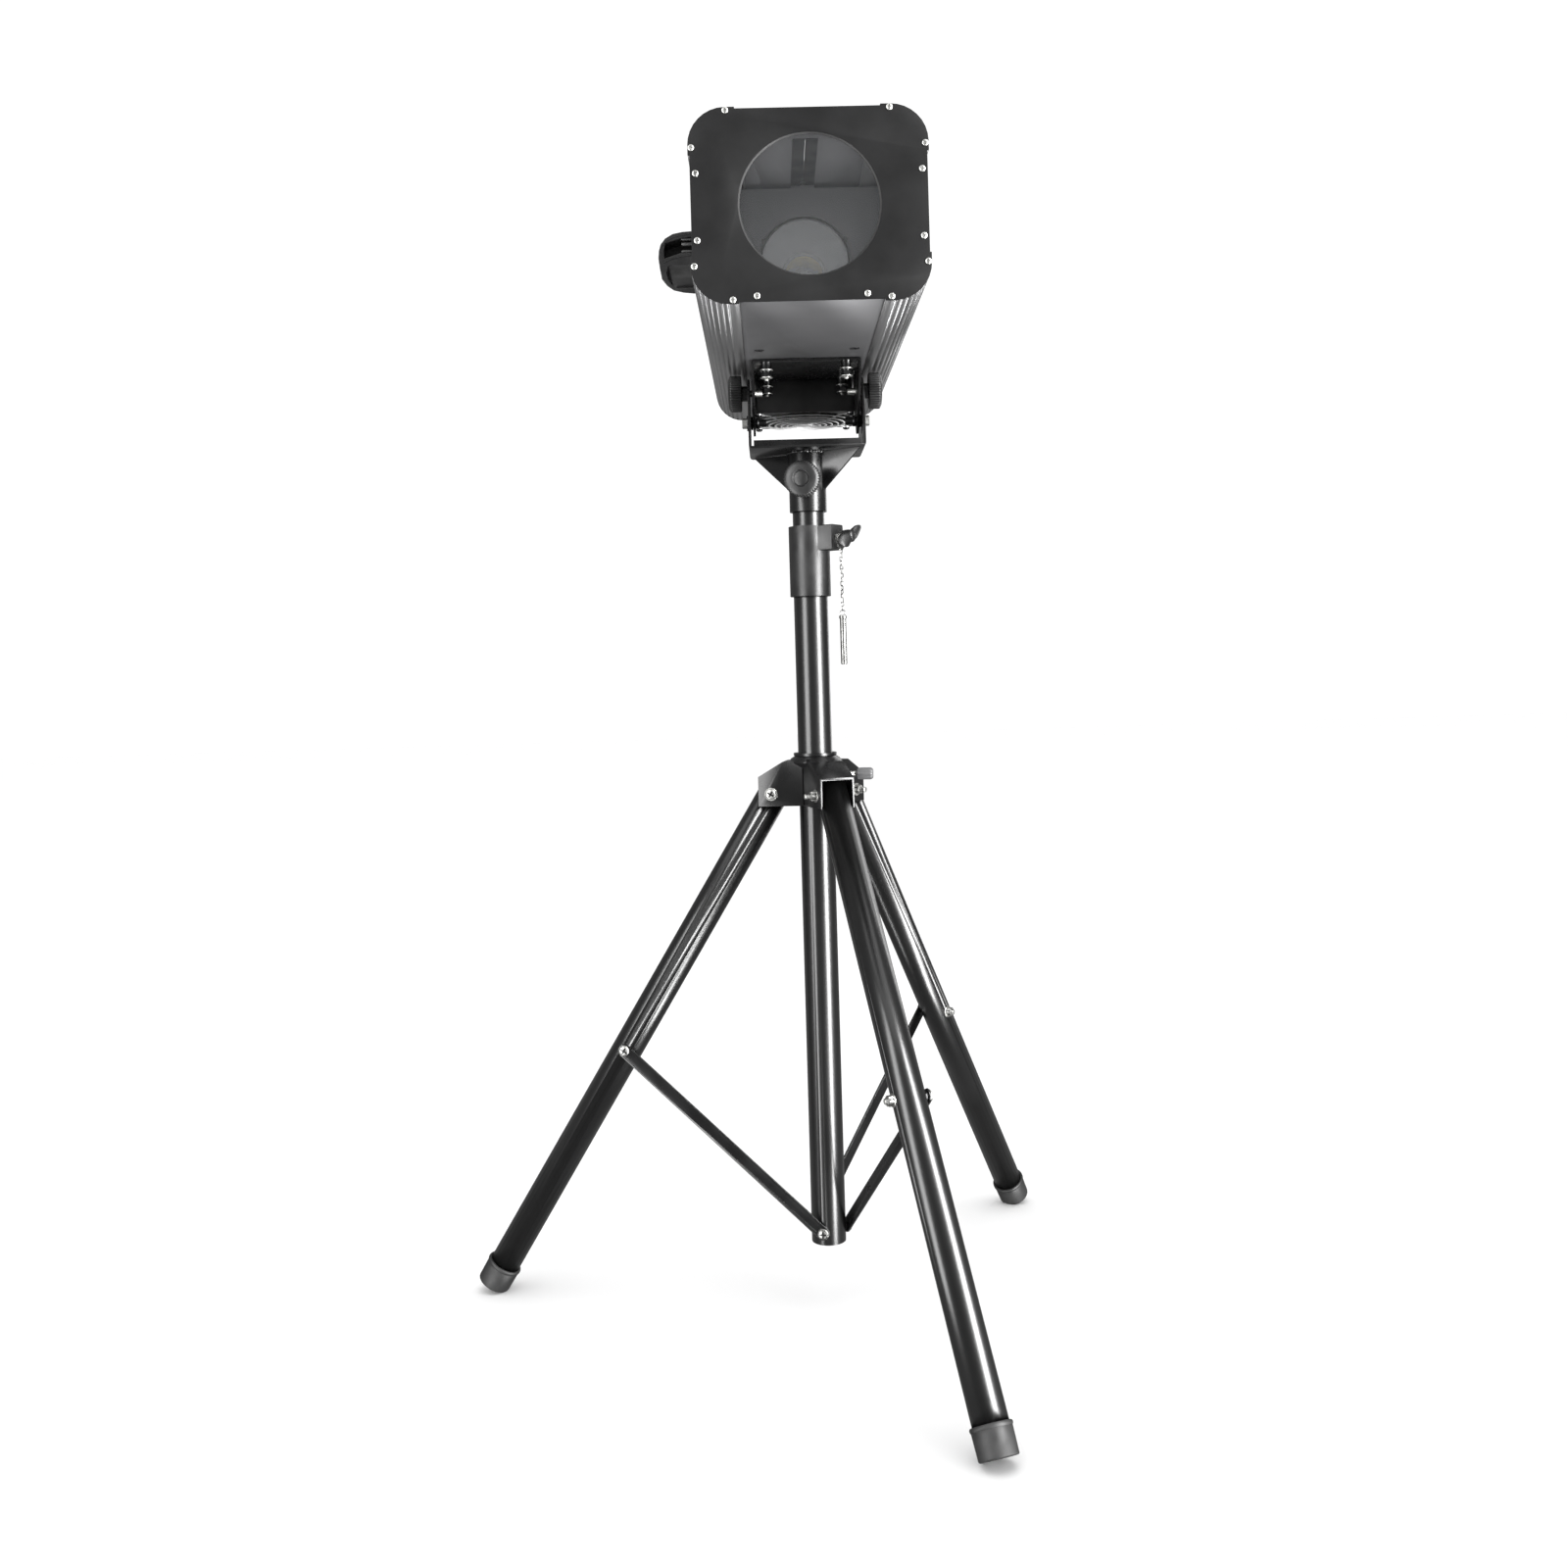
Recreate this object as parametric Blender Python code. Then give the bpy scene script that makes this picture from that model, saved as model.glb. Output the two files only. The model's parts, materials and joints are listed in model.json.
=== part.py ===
"""A follow spot on a folding tripod stand, as an assembly of separate closed solids.

The stand's column is vertical and the lamp head points along -Y. Lengths here are in millimetres and are
turned into metres where a mesh or an empty is made. Everything is placed in the stand's own frame, with the
column on the Z axis and the floor at zero. At the end the root empty moves the whole object so that the
origin is in the middle of its footprint, on the floor. An empty stands on the axis of each joint, with its
Z axis along it.
"""

from math import asin, atan2, cos, pi, radians, sin, sqrt, tan

import bmesh
import bpy
from mathutils import Matrix, Vector

MM = 0.001
GAP = 0.3  # clearance between touching pieces
PAST = 9.0  # how far a cutter runs past what it cuts

# Stand
COLUMN_R = 19.0
COLUMN_WALL = 1.0
COLUMN_BOTTOM = 69.0
POLE_R = COLUMN_R - COLUMN_WALL - GAP
POLE_WALL = 1.3
POLE_BOTTOM = 219.0
POLE_TOP = 943.0
SLEEVE_R = 22.75
SLEEVE_BOTTOM = 785.6
SLEEVE_TOP = 863.3
SLEEVE_LIP = 4.0
BOSS_AZIMUTH = 55.0
BOSS_HEIGHT = 28.0
BOSS_WIDTH = 24.0
BOSS_END = 37.0
WING_TILT = 24.0
WING_FOOT = 50.0  # out from the column's axis
CHAIN_LENGTH = 66.0
TUBE_SIDES = 32

# Tripod
LEG_AZIMUTHS = {"front": 20.0, "rear": 140.0, "left": -100.0}
LEG_R = 17.25
LEG_WALL = 1.3
LEG_SIDES = 20
LEG_PIVOT_R = 47.8
LEG_PIVOT_Z = 567.6
LEG_ANGLE = 31.6  # from the vertical, with the legs spread
LEG_HEAD = 10.0  # the tube above its pivot
FOOT_R = 19.2
FOOT_LENGTH = 26.0
FOOT_WALL = 3.0
FOOT_CUT = 2.0  # how much of the foot's lowest rim the floor flattens
BRACE_ON_LEG = 335.0  # from the leg's pivot
BRACE_FOOT_R = 3.0
BRACE_FOOT_Z = 82.6
BRACE_WIDTH = 14.5
BRACE_THICK = 2.5
BRACE_FACE = COLUMN_R + GAP + BRACE_THICK

# Bolts
BOLT_R = 3.0
BOLT_HEAD_R = 5.5
BOLT_HEAD = 2.2
BOLT_DOME = 0.8
NUT_R = 5.2
NUT_HEIGHT = 6.0
SINK = 0.6  # how far a head or nut runs into the face that it is one with
STUD_R = 3.9

# Leg collar
HUB_R = 22.0
COLLAR_BOTTOM = 554.2
COLLAR_TOP = 603.1
CHANNEL_SHEET = 2.0
CHANNEL_HALF = LEG_R + 0.45 + CHANNEL_SHEET
CHANNEL_END = 62.0
CHANNEL_EAVES = 586.8
CHANNEL_RIDGE_R = 34.3
COLLAR_KNOB_AZIMUTH = 80.0
COLLAR_KNOB_Z = 587.5

# Yoke and pan socket
SOCKET_R = 20.75
SOCKET_BOTTOM = 879.6
YOKE_BASE = 945.8
YOKE_HALF = 63.75
YOKE_DEPTH = 97.0
YOKE_FLANGE = 8.5
SHEET = 2.5
BEND = 3.5
WEB_HALF = 70.0
WEB_AZIMUTH = 55.4
WEB_THICK = 3.0
WEB_TIP = 897.0
WEB_TIP_HALF = 15.0
PAN_KNOB_AZIMUTH = -10.0
PAN_KNOB_Z = 912.3

# Tilt
TILT_Z = 980.0
TILT_KNOB_RISE = 33.0
TILT_KNOB_X = 70.5
TILT_DOWN, TILT_UP = 45.0, 30.0
BRACKET_HALF = 58.5
BRACKET_FRONT = -84.0
BRACKET_REAR = 31.0
BRACKET_SKIRT = 12.0  # the full-length top of each wall, above its taper
BRACKET_EYE_R = 14.5
BRACKET_BOLTS_X = 42.5
BRACKET_BOLTS_Y = (-78.0, 20.0)
KNOB_R = 20.0
KNOB_HEIGHT = 13.0
KNOB_FLUTES = 24

# Head
AXIS_Z = 1121.7
HEAD_FRONT = -343.0
HEAD_REAR = 316.0
HALF_W = 108.0
HALF_H = 88.0
CORNER_R = 34.0
FLAT_HALF_W = 65.2  # where the flat panels meet the corner rails
FLAT_HALF_H = 45.5
RECESS = 1.5
RAIL_WALL = 6.0
RAIL_LIP = 6.0
RIB_COUNT = 9
RIB_DEPTH = 1.1
PANEL = 2.0
FRONT_PLATE = 2.0
REAR_PLATE = 2.5
LENS_HOLE_R = 64.5
LENS_R = 68.0
FLOOR_Z = AXIS_Z - HALF_H + RECESS + PANEL + GAP  # just above the bottom panel

# Side grip
GRIP_FRONT = -232.0
GRIP_LENGTH = 96.0
GRIP_Z = AXIS_Z - 13.2
GRIP_HOOP = 6.0  # the uncut ring at the mouth
GRIP_BACK = 6.0
GRIP_RISE = 15.0  # the slope of its underside, in degrees

# Optics
FOCUS_Y = -140.0
FOCUS_FORWARD, FOCUS_BACK = 120.0, 30.0
FOCUS_LENS_R = 46.0
FOCUS_SCREW = 6.0  # the focus knob's screw stands this far behind the carriage's face
INNER_PLATE = 2.0
INNER_HALF_W = 98.0
INNER_CORNER_R = 24.0
IRIS_Y = -92.0
IRIS_HOLE_R = 19.6
IRIS_SWING = 20.0
GUIDE_HALF_W = 30.0
REFLECTOR_Y = -24.0
SINK_FINS = 9
SINK_PITCH = 16.0
SINK_FIN = 5.0
SINK_BASE = 8.0
SINK_DEPTH = 96.0
SINK_Y = 54.0

# Fan
FAN_FRONT = 34.0
FAN_SIZE = 120.0
FAN_DEPTH = 38.0
FAN_DUCT_R = 57.0
FAN_MIDDLE = FAN_FRONT + FAN_SIZE / 2
FAN_HUB_R = 20.0
FAN_BLADES = 7
FAN_PITCH = 38.0
FAN_SCREW = 52.5  # the standard hole spacing of this size, halved
GUARD_WIRE = 1.2
GUARD_DROP = 6.4
GUARD_RINGS = (54.0, 36.0, 18.0)

# Rear panel, with places as (x, height over the optical axis)
DISPLAY = (0.0, 42.0, 34.0, 15.0)  # and half its width and height
BUTTONS = ((-36.0, 12.0), (-12.0, 12.0), (12.0, 12.0), (36.0, 12.0))
BUTTON_R = 4.5
SWITCH = (52.0, -45.0, 10.5, 14.0)
INLET = (18.0, -45.0, 14.0, 10.0)
SOCKETS = {"signal_in": (-26.0, -45.0), "signal_out": (-62.0, -45.0)}
SOCKET_BARREL_R = 11.5
VENT_X = 78.0
VENT_HALF_W = 16.0
VENT_HEIGHT = 3.5
VENT_PITCH = 9.0
VENT_LOW = 10.0
VENT_COUNT = 5

POLISHED_BLACK = ((0.012, 0.012, 0.013), 0.18, 0.0)
MATT_BLACK = ((0.022, 0.022, 0.023), 0.55, 0.0)
RUBBER = ((0.015, 0.015, 0.015), 0.8, 0.0)
GREY_ALUMINIUM = ((0.10, 0.10, 0.105), 0.4, 0.8)
BARE_ALUMINIUM = ((0.55, 0.55, 0.57), 0.35, 1.0)
ZINC = ((0.7, 0.7, 0.7), 0.25, 1.0)
GLASS = ((0.8, 0.85, 0.85), 0.02, 0.0)
SCREEN = ((0.02, 0.04, 0.08), 0.1, 0.0)
GREY_PLASTIC = ((0.2, 0.2, 0.21), 0.5, 0.0)

UP = Vector((0, 0, 1))

for old in list(bpy.data.objects):
    bpy.data.objects.remove(old)

placed = {}  # the world matrix of each empty, in metres


# Frames and empties


def radial(azimuth):
    """The level direction at an azimuth, counted from -Y towards +X."""
    a = radians(azimuth)
    return Vector((sin(a), -cos(a), 0))


def frame_at(origin, along, across):
    """A matrix in millimetres: its Z runs along, its X across."""
    z = Vector(along).normalized()
    x = Vector(across) - Vector(across).dot(z) * z
    x.normalize()
    y = z.cross(x)
    matrix = Matrix((x, y, z)).transposed().to_4x4()
    matrix.translation = Vector(origin)
    return matrix


def in_metres(matrix):
    scaled = matrix.copy()
    scaled.translation = matrix.translation * MM
    return scaled


def hang(obj, parent, matrix):
    """Parents an object so that its world matrix, before the root moves, is the one given."""
    if parent is not None:
        obj.parent = parent
        obj.matrix_parent_inverse = placed[parent.name].inverted()
    obj.matrix_basis = matrix


def empty(name, parent, matrix):
    obj = bpy.data.objects.new(name, None)
    obj.empty_display_size = 0.03
    bpy.context.scene.collection.objects.link(obj)
    world = in_metres(matrix)
    hang(obj, parent, world)
    placed[name] = world
    return obj


def joint(name, parent, origin, axis):
    side = Vector((1, 0, 0)) if abs(Vector(axis).normalized().x) < 0.9 else Vector((0, 1, 0))
    return empty("joint_" + name, parent, frame_at(origin, axis, side))


# Shapes: each is a pair of vertices and faces, in millimetres


def turned(shape, matrix):
    verts, faces = shape
    return [matrix @ Vector(v) for v in verts], faces


def shifted(shape, *offset):
    return turned(shape, Matrix.Translation(Vector(offset)))


def box(low, high):
    verts = [(x, y, z) for z in (low[2], high[2]) for y in (low[1], high[1]) for x in (low[0], high[0])]
    faces = [(0, 2, 3, 1), (4, 5, 7, 6), (0, 1, 5, 4), (2, 6, 7, 3), (0, 4, 6, 2), (1, 3, 7, 5)]
    return verts, faces


def prism(outline, low, high):
    count = len(outline)
    verts = [(u, v, w) for w in (low, high) for u, v in outline]
    faces = [tuple(range(count - 1, -1, -1)), tuple(range(count, 2 * count))]
    for i in range(count):
        j = (i + 1) % count
        faces.append((i, j, count + j, count + i))
    return verts, faces


def lathe(profile, sides=24):
    """Turns a profile of (radius, height) about Z, from the axis to the axis or round a closed loop."""
    verts, rings = [], []
    for radius, height in profile:
        if radius < 1e-6:
            rings.append([len(verts)])
            verts.append((0, 0, height))
            continue
        rings.append(list(range(len(verts), len(verts) + sides)))
        for i in range(sides):
            a = 2 * pi * i / sides
            verts.append((radius * cos(a), radius * sin(a), height))
    loop = len(rings[0]) > 1
    faces = []
    for k in range(len(rings) if loop else len(rings) - 1):
        one, two = rings[k], rings[(k + 1) % len(rings)]
        for i in range(sides):
            j = (i + 1) % sides
            if len(one) == 1:
                faces.append((one[0], two[i], two[j]))
            elif len(two) == 1:
                faces.append((one[i], two[0], one[j]))
            else:
                faces.append((one[i], two[i], two[j], one[j]))
    return verts, faces


def rod(radius, low, high, sides=16):
    return lathe([(0, low), (radius, low), (radius, high), (0, high)], sides)


def tube(outer, inner, low, high, sides=TUBE_SIDES):
    return lathe([(outer, low), (outer, high), (inner, high), (inner, low)], sides)


def torus(ring_r, wire_r, sides=20, around=6):
    loop = [2 * pi * i / around for i in range(around)]
    return lathe([(ring_r + wire_r * cos(a), wire_r * sin(a)) for a in loop], sides)


def together(shapes):
    """Shapes that stand clear of each other, as one."""
    verts, faces = [], []
    for points, sides in shapes:
        faces += [tuple(i + len(verts) for i in side) for side in sides]
        verts += [Vector(point) for point in points]
    return verts, faces


def mirrored(outline):
    """The outline's other half, in the order that goes on from it."""
    return [(-u, v) for u, v in reversed(outline)]


def arc(centre, radius, start, end, steps):
    """Points on an arc, with its angles in degrees."""
    points = []
    for i in range(steps + 1):
        a = radians(start + (end - start) * i / steps)
        points.append((centre[0] + radius * cos(a), centre[1] + radius * sin(a)))
    return points


def rounded(half_w, half_h, radius, steps=5):
    """A rectangle with round corners, about the origin."""
    u, v = half_w - radius, half_h - radius
    outline = arc((u, v), radius, 0, 90, steps) + arc((-u, v), radius, 90, 180, steps)
    return outline + arc((-u, -v), radius, 180, 270, steps) + arc((u, -v), radius, 270, 360, steps)


def fluted(radius, depth, flutes):
    """A round outline with shallow flutes."""
    outline = []
    for i in range(2 * flutes):
        a = pi * i / flutes
        r = radius if i % 2 else radius - depth
        outline.append((r * cos(a), r * sin(a)))
    return outline


# Objects


def material(name, look):
    colour, roughness, metallic = look
    mat = bpy.data.materials.new(name)
    mat.use_nodes = True
    shader = mat.node_tree.nodes["Principled BSDF"]
    shader.inputs["Base Color"].default_value = (*colour, 1)
    shader.inputs["Roughness"].default_value = roughness
    shader.inputs["Metallic"].default_value = metallic
    if look is GLASS:
        shader.inputs["Transmission Weight"].default_value = 1.0
    return mat


def mesh_object(name, shape, parent):
    verts, faces = shape
    mesh = bpy.data.meshes.new(name)
    mesh.from_pydata([Vector(v) * MM for v in verts], [], faces)
    shell = bmesh.new()
    shell.from_mesh(mesh)
    bmesh.ops.recalc_face_normals(shell, faces=shell.faces)
    shell.to_mesh(mesh)
    shell.free()
    obj = bpy.data.objects.new(name, mesh)
    bpy.context.scene.collection.objects.link(obj)
    hang(obj, parent, Matrix())
    return obj


def piece(name, shape, parent, look, joined=(), cut=(), added=()):
    """A piece of the object: a shape with others joined to it, then others cut from it, then others added."""
    obj = mesh_object(name, shape, parent)
    obj.data.materials.append(material(name, look))
    steps = [("UNION", other) for other in joined]
    steps += [("DIFFERENCE", other) for other in cut]
    steps += [("UNION", other) for other in added]
    for i, (operation, other) in enumerate(steps):
        helper = mesh_object(f"{name}_{operation.lower()}_{i}", other, parent)
        helper.hide_render = True
        helper.display_type = "WIRE"
        boolean = obj.modifiers.new(operation.title(), "BOOLEAN")
        boolean.operation = operation
        boolean.object = helper
        boolean.solver = "EXACT"
    obj.data.shade_smooth()
    obj.data.set_sharp_from_angle(angle=radians(35))
    return obj


# The stand


def build_column(root):
    rivets = []
    for azimuth in LEG_AZIMUTHS.values():
        base = radial(azimuth) * BRACE_FOOT_R + UP * BRACE_FOOT_Z
        head = BRACE_FACE + GAP
        profile = [(0, COLUMN_R - SINK), (BOLT_R, COLUMN_R - SINK), (BOLT_R, head), (BOLT_HEAD_R, head)]
        profile += [(BOLT_HEAD_R, head + BOLT_HEAD), (0, head + BOLT_HEAD + BOLT_DOME)]
        rivets.append(turned(lathe(profile, 12), frame_at(base, radial(azimuth + 90), UP)))
    body = tube(COLUMN_R, COLUMN_R - COLUMN_WALL, COLUMN_BOTTOM, SLEEVE_TOP - SLEEVE_LIP - 1)
    piece("column_tube", body, root, POLISHED_BLACK, rivets)

    out = radial(BOSS_AZIMUTH)
    boss = frame_at(UP * (SLEEVE_TOP - BOSS_HEIGHT / 2), out, UP)
    block = prism(rounded(BOSS_HEIGHT / 2 - 0.02, BOSS_WIDTH / 2, 2.0, 2), COLUMN_R / 2, BOSS_END)
    solid = rod(SLEEVE_R, SLEEVE_BOTTOM, SLEEVE_TOP, TUBE_SIDES)
    bore, mouth, ledge = COLUMN_R + GAP, POLE_R + GAP, SLEEVE_TOP - SLEEVE_LIP
    profile = [(0, SLEEVE_BOTTOM - PAST), (bore, SLEEVE_BOTTOM - PAST), (bore, ledge), (mouth, ledge)]
    profile += [(mouth, SLEEVE_TOP + PAST), (0, SLEEVE_TOP + PAST)]
    hole = turned(rod(STUD_R + GAP, COLUMN_R / 2, BOSS_END + PAST, 12), boss)
    cuts = [lathe(profile, TUBE_SIDES), hole]
    piece("clamp_sleeve", solid, root, MATT_BLACK, [turned(block, boss)], cuts)

    knob_turn = joint("wing_knob", root, boss.translation + out * WING_FOOT, out)
    stud = rod(STUD_R, COLUMN_R + GAP, WING_FOOT, 12)
    low, top = WING_FOOT - 4, WING_FOOT + 8
    hub = lathe([(0, low), (7, low), (7.5, low + 6), (5, top), (0, top)], 16)
    lobe = arc((15, 0), 8, -100, 100, 6) + [(2, 5.5), (-2, 5.5)]
    wings = lobe + [(-u, -v) for u, v in lobe]
    middle = frame_at(boss.translation + out * (WING_FOOT + 4), out, radial(BOSS_AZIMUTH + 90))
    wing = middle @ Matrix.Rotation(radians(WING_TILT), 4, "Z")
    joined = [turned(hub, boss), turned(prism(wings, -4.5, 4.5), wing)]
    piece("wing_knob", turned(stud, boss), knob_turn, MATT_BLACK, joined)
    return boss


def build_hitch(root, boss):
    """The ring on the wing knob's shaft, and the chain and pin that hang from it."""
    out = radial(BOSS_AZIMUTH)
    ring_r, wire_r = 9.0, 0.9
    centre = boss.translation + out * (BOSS_END + 4.5) + UP * (STUD_R + GAP + wire_r - ring_r)
    piece("hitch_ring", turned(torus(ring_r, wire_r), frame_at(centre, out, UP)), root, ZINC)
    # Each hanging piece starts in a cone, so that it clears the one above it as it swings.
    top = centre - UP * (ring_r + wire_r + GAP)
    swing = joint("chain", root, top, out)
    chain_r, chain_cone = 2.4, 3.0
    profile = [(0, 0), (chain_r, chain_cone), (chain_r, CHAIN_LENGTH), (0, CHAIN_LENGTH)]
    piece("pin_chain", turned(lathe(profile, 8), frame_at(top, -UP, out)), swing, ZINC)
    low = top - UP * (CHAIN_LENGTH + GAP)
    pin_swing = joint("locking_pin", swing, low, out)
    eye_r, eye_cone, eye = 4.2, 5.3, 9.0
    shank_r, shank, tip = 3.5, 51.0, 1.5
    profile = [(0, 0), (eye_r, eye_cone), (eye_r, eye), (shank_r, eye), (shank_r, eye + shank - tip)]
    profile += [(shank_r - 1.0, eye + shank), (0, eye + shank)]
    piece("locking_pin", turned(lathe(profile, 12), frame_at(low, -UP, out)), pin_swing, ZINC)


def build_pole(root):
    slide = joint("pole", root, UP * SLEEVE_TOP, UP)
    piece("pole", tube(POLE_R, POLE_R - POLE_WALL, POLE_BOTTOM, POLE_TOP), slide, POLISHED_BLACK)
    return slide


# The tripod


def fold():
    """The brace's length and its angle from the vertical, with the legs spread."""
    lean = radians(LEG_ANGLE)
    reach = LEG_PIVOT_R + BRACE_ON_LEG * sin(lean) - BRACE_FOOT_R
    rise = LEG_PIVOT_Z - BRACE_ON_LEG * cos(lean) - BRACE_FOOT_Z
    return sqrt(reach * reach + rise * rise), atan2(reach, rise)


def channel_outline(inner_r, drop, bottom, end):
    """The side of a leg channel, as (radius, height): flat on top and sloping to the eaves."""
    slope = (COLLAR_TOP - CHANNEL_EAVES) / (CHANNEL_END - CHANNEL_RIDGE_R)
    sheet = drop * sqrt(1 + slope * slope)  # the sheet's thickness, measured straight down through the slope
    return [
        (inner_r, bottom),
        (end, bottom),
        (end, CHANNEL_EAVES - sheet - slope * (end - CHANNEL_END)),
        (CHANNEL_RIDGE_R, COLLAR_TOP - sheet),
        (inner_r, COLLAR_TOP - drop),
    ]


def build_collar(root):
    slide = joint("collar", root, UP * LEG_PIVOT_Z, UP)
    joined, cuts, bolts = [], [], []
    half, inner = CHANNEL_HALF, CHANNEL_HALF - CHANNEL_SHEET
    nut = half + NUT_HEIGHT
    for azimuth in LEG_AZIMUTHS.values():
        out, side = radial(azimuth), radial(azimuth + 90)
        upright = Matrix((out, UP, side)).transposed().to_4x4()
        outer = channel_outline(12, 0, COLLAR_BOTTOM, CHANNEL_END)
        hollow = channel_outline(24, CHANNEL_SHEET, COLLAR_BOTTOM - PAST, CHANNEL_END + PAST)
        joined.append(turned(prism(outer, -half, half), upright))
        cuts.append(turned(prism(hollow, -inner, inner), upright))
        profile = [(0, -nut - 7), (BOLT_R, -nut - 6.5), (BOLT_R, -nut), (NUT_R, -nut), (NUT_R, SINK - half)]
        profile += [(BOLT_R, SINK - half), (BOLT_R, half - SINK), (BOLT_HEAD_R, half - SINK)]
        profile += [(BOLT_HEAD_R, half + BOLT_HEAD), (0, half + BOLT_HEAD + BOLT_DOME)]
        bolts.append(turned(lathe(profile, 12), frame_at(out * LEG_PIVOT_R + UP * LEG_PIVOT_Z, side, UP)))
    # The hub flares under a thin ring at its mouth.
    mouth = COLLAR_TOP + 8.8
    profile = [(0, COLLAR_BOTTOM), (HUB_R, COLLAR_BOTTOM), (HUB_R, COLLAR_TOP - 8), (30, COLLAR_TOP - 1)]
    profile += [(27, COLLAR_TOP + 3), (23, COLLAR_TOP + 5.5), (24, COLLAR_TOP + 6), (24, mouth), (0, mouth)]
    out = radial(COLLAR_KNOB_AZIMUTH)
    screw_line = frame_at(UP * COLLAR_KNOB_Z, out, UP)
    cuts.append(rod(COLUMN_R + GAP, COLLAR_BOTTOM - PAST, mouth + PAST, TUBE_SIDES))
    cuts.append(turned(rod(BOLT_R + GAP, COLUMN_R / 2, 2 * COLUMN_R, 12), screw_line))
    piece("leg_collar", lathe(profile, TUBE_SIDES), slide, POLISHED_BLACK, joined, cuts, bolts)

    grip = 47.0
    turn = joint("collar_knob", slide, out * (grip + 3) + UP * COLLAR_KNOB_Z, out)
    profile = [(0, COLUMN_R + GAP), (BOLT_R, COLUMN_R + GAP), (BOLT_R, grip), (6, grip), (6.6, grip + 2)]
    profile += [(6.6, grip + 15), (5.4, grip + 17), (0, grip + 17)]
    piece("collar_knob", turned(lathe(profile, 12), screw_line), turn, GREY_PLASTIC)
    return slide


def build_leg(name, azimuth, collar):
    lean = radians(LEG_ANGLE)
    out, side = radial(azimuth), radial(azimuth + 90)
    pivot = out * LEG_PIVOT_R + UP * LEG_PIVOT_Z
    down = out * sin(lean) - UP * cos(lean)
    turn = joint(name + "_leg", collar, pivot, side)
    along = frame_at(pivot, down, side) @ Matrix.Rotation(pi / LEG_SIDES, 4, "Z")
    # The foot's lowest rim would reach FOOT_CUT below the floor, and the floor flattens it.
    end = (LEG_PIVOT_Z + FOOT_CUT - (FOOT_R - 0.5) * sin(lean)) / cos(lean)
    tube_end = end - FOOT_WALL - GAP
    hole = turned(rod(BOLT_R + GAP, -LEG_R - PAST, LEG_R + PAST, 12), frame_at(pivot, side, down))
    # The brace's bolt runs through the leg, from its nut to the spacer that the brace lies against.
    skin, nut = LEG_R - SINK, LEG_R + NUT_HEIGHT
    profile = [(0, -nut - 3), (BOLT_R, -nut - 2.6), (BOLT_R, -nut), (NUT_R, -nut), (NUT_R, -skin)]
    profile += [(BOLT_R, -skin), (BOLT_R, skin), (NUT_R - SINK, skin), (NUT_R - SINK, COLUMN_R)]
    profile.append((0, COLUMN_R))
    bolt = turned(lathe(profile, 12), frame_at(pivot + down * BRACE_ON_LEG, side, down))
    body = tube(LEG_R, LEG_R - LEG_WALL, -LEG_HEAD, tube_end, LEG_SIDES)
    piece(name + "_leg", turned(body, along), turn, POLISHED_BLACK, [bolt], [hole])

    low, inner = end - FOOT_LENGTH, LEG_R + GAP
    profile = [(0, end - FOOT_WALL), (inner, end - FOOT_WALL), (inner, low), (FOOT_R - 0.6, low)]
    profile += [(FOOT_R, low + 1.5), (FOOT_R - 0.5, end - 1.0), (FOOT_R - 1.5, end), (0, end)]
    floor = box((-900, -900, -60), (900, 900, 0))
    piece(name + "_foot", turned(lathe(profile, 24), along), turn, RUBBER, [], [floor])


def build_brace(name, azimuth, root):
    """A flat bar with a bolt's head fixed on its upper end. The leg's spacer ends just short of the bar."""
    length, open_angle = fold()
    out, side = radial(azimuth), radial(azimuth + 90)
    foot = out * BRACE_FOOT_R + UP * BRACE_FOOT_Z
    up = out * sin(open_angle) + UP * cos(open_angle)
    turn = joint(name + "_brace", root, foot, side)
    flat = Matrix((up, side.cross(up), side)).transposed().to_4x4()
    flat.translation = foot
    half = BRACE_WIDTH / 2
    outline = arc((length, 0), half, -90, 90, 6) + arc((0, 0), half, 90, 270, 6)
    bar = prism(outline, COLUMN_R + GAP, BRACE_FACE)
    foot_z, rim_z = BRACE_FACE - SINK, BRACE_FACE + BOLT_HEAD
    profile = [(0, foot_z), (BOLT_HEAD_R, foot_z), (BOLT_HEAD_R, rim_z), (0, rim_z + BOLT_DOME)]
    head = shifted(lathe(profile, 12), length, 0, 0)
    hole = rod(BOLT_R + GAP, 0, BRACE_FACE + PAST, 12)
    bar, head, hole = [turned(shape, flat) for shape in (bar, head, hole)]
    piece(name + "_brace", bar, turn, POLISHED_BLACK, [head], [hole])


# The yoke and the pan socket


def side_on():
    """Places a prism drawn as (y, z) with its thickness along X."""
    return Matrix(((0, 0, 1, 0), (1, 0, 0, 0), (0, 1, 0, 0), (0, 0, 0, 1)))


def end_on():
    """Places a prism drawn as (x, z) with its thickness along Y."""
    return Matrix(((1, 0, 0, 0), (0, 0, 1, 0), (0, 1, 0, 0), (0, 0, 0, 1)))


def slot_outline(radius, half_width, start, end):
    """A curved slot about the tilt axis, its angles counted from straight up towards the front."""
    centre = (0, TILT_Z)
    outer = arc(centre, radius + half_width, 90 - end, 90 - start, 8)
    inner = arc(centre, radius - half_width, 90 - start, 90 - end, 8)
    return [(-y, z) for y, z in outer + inner]  # the front is at -Y


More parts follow.
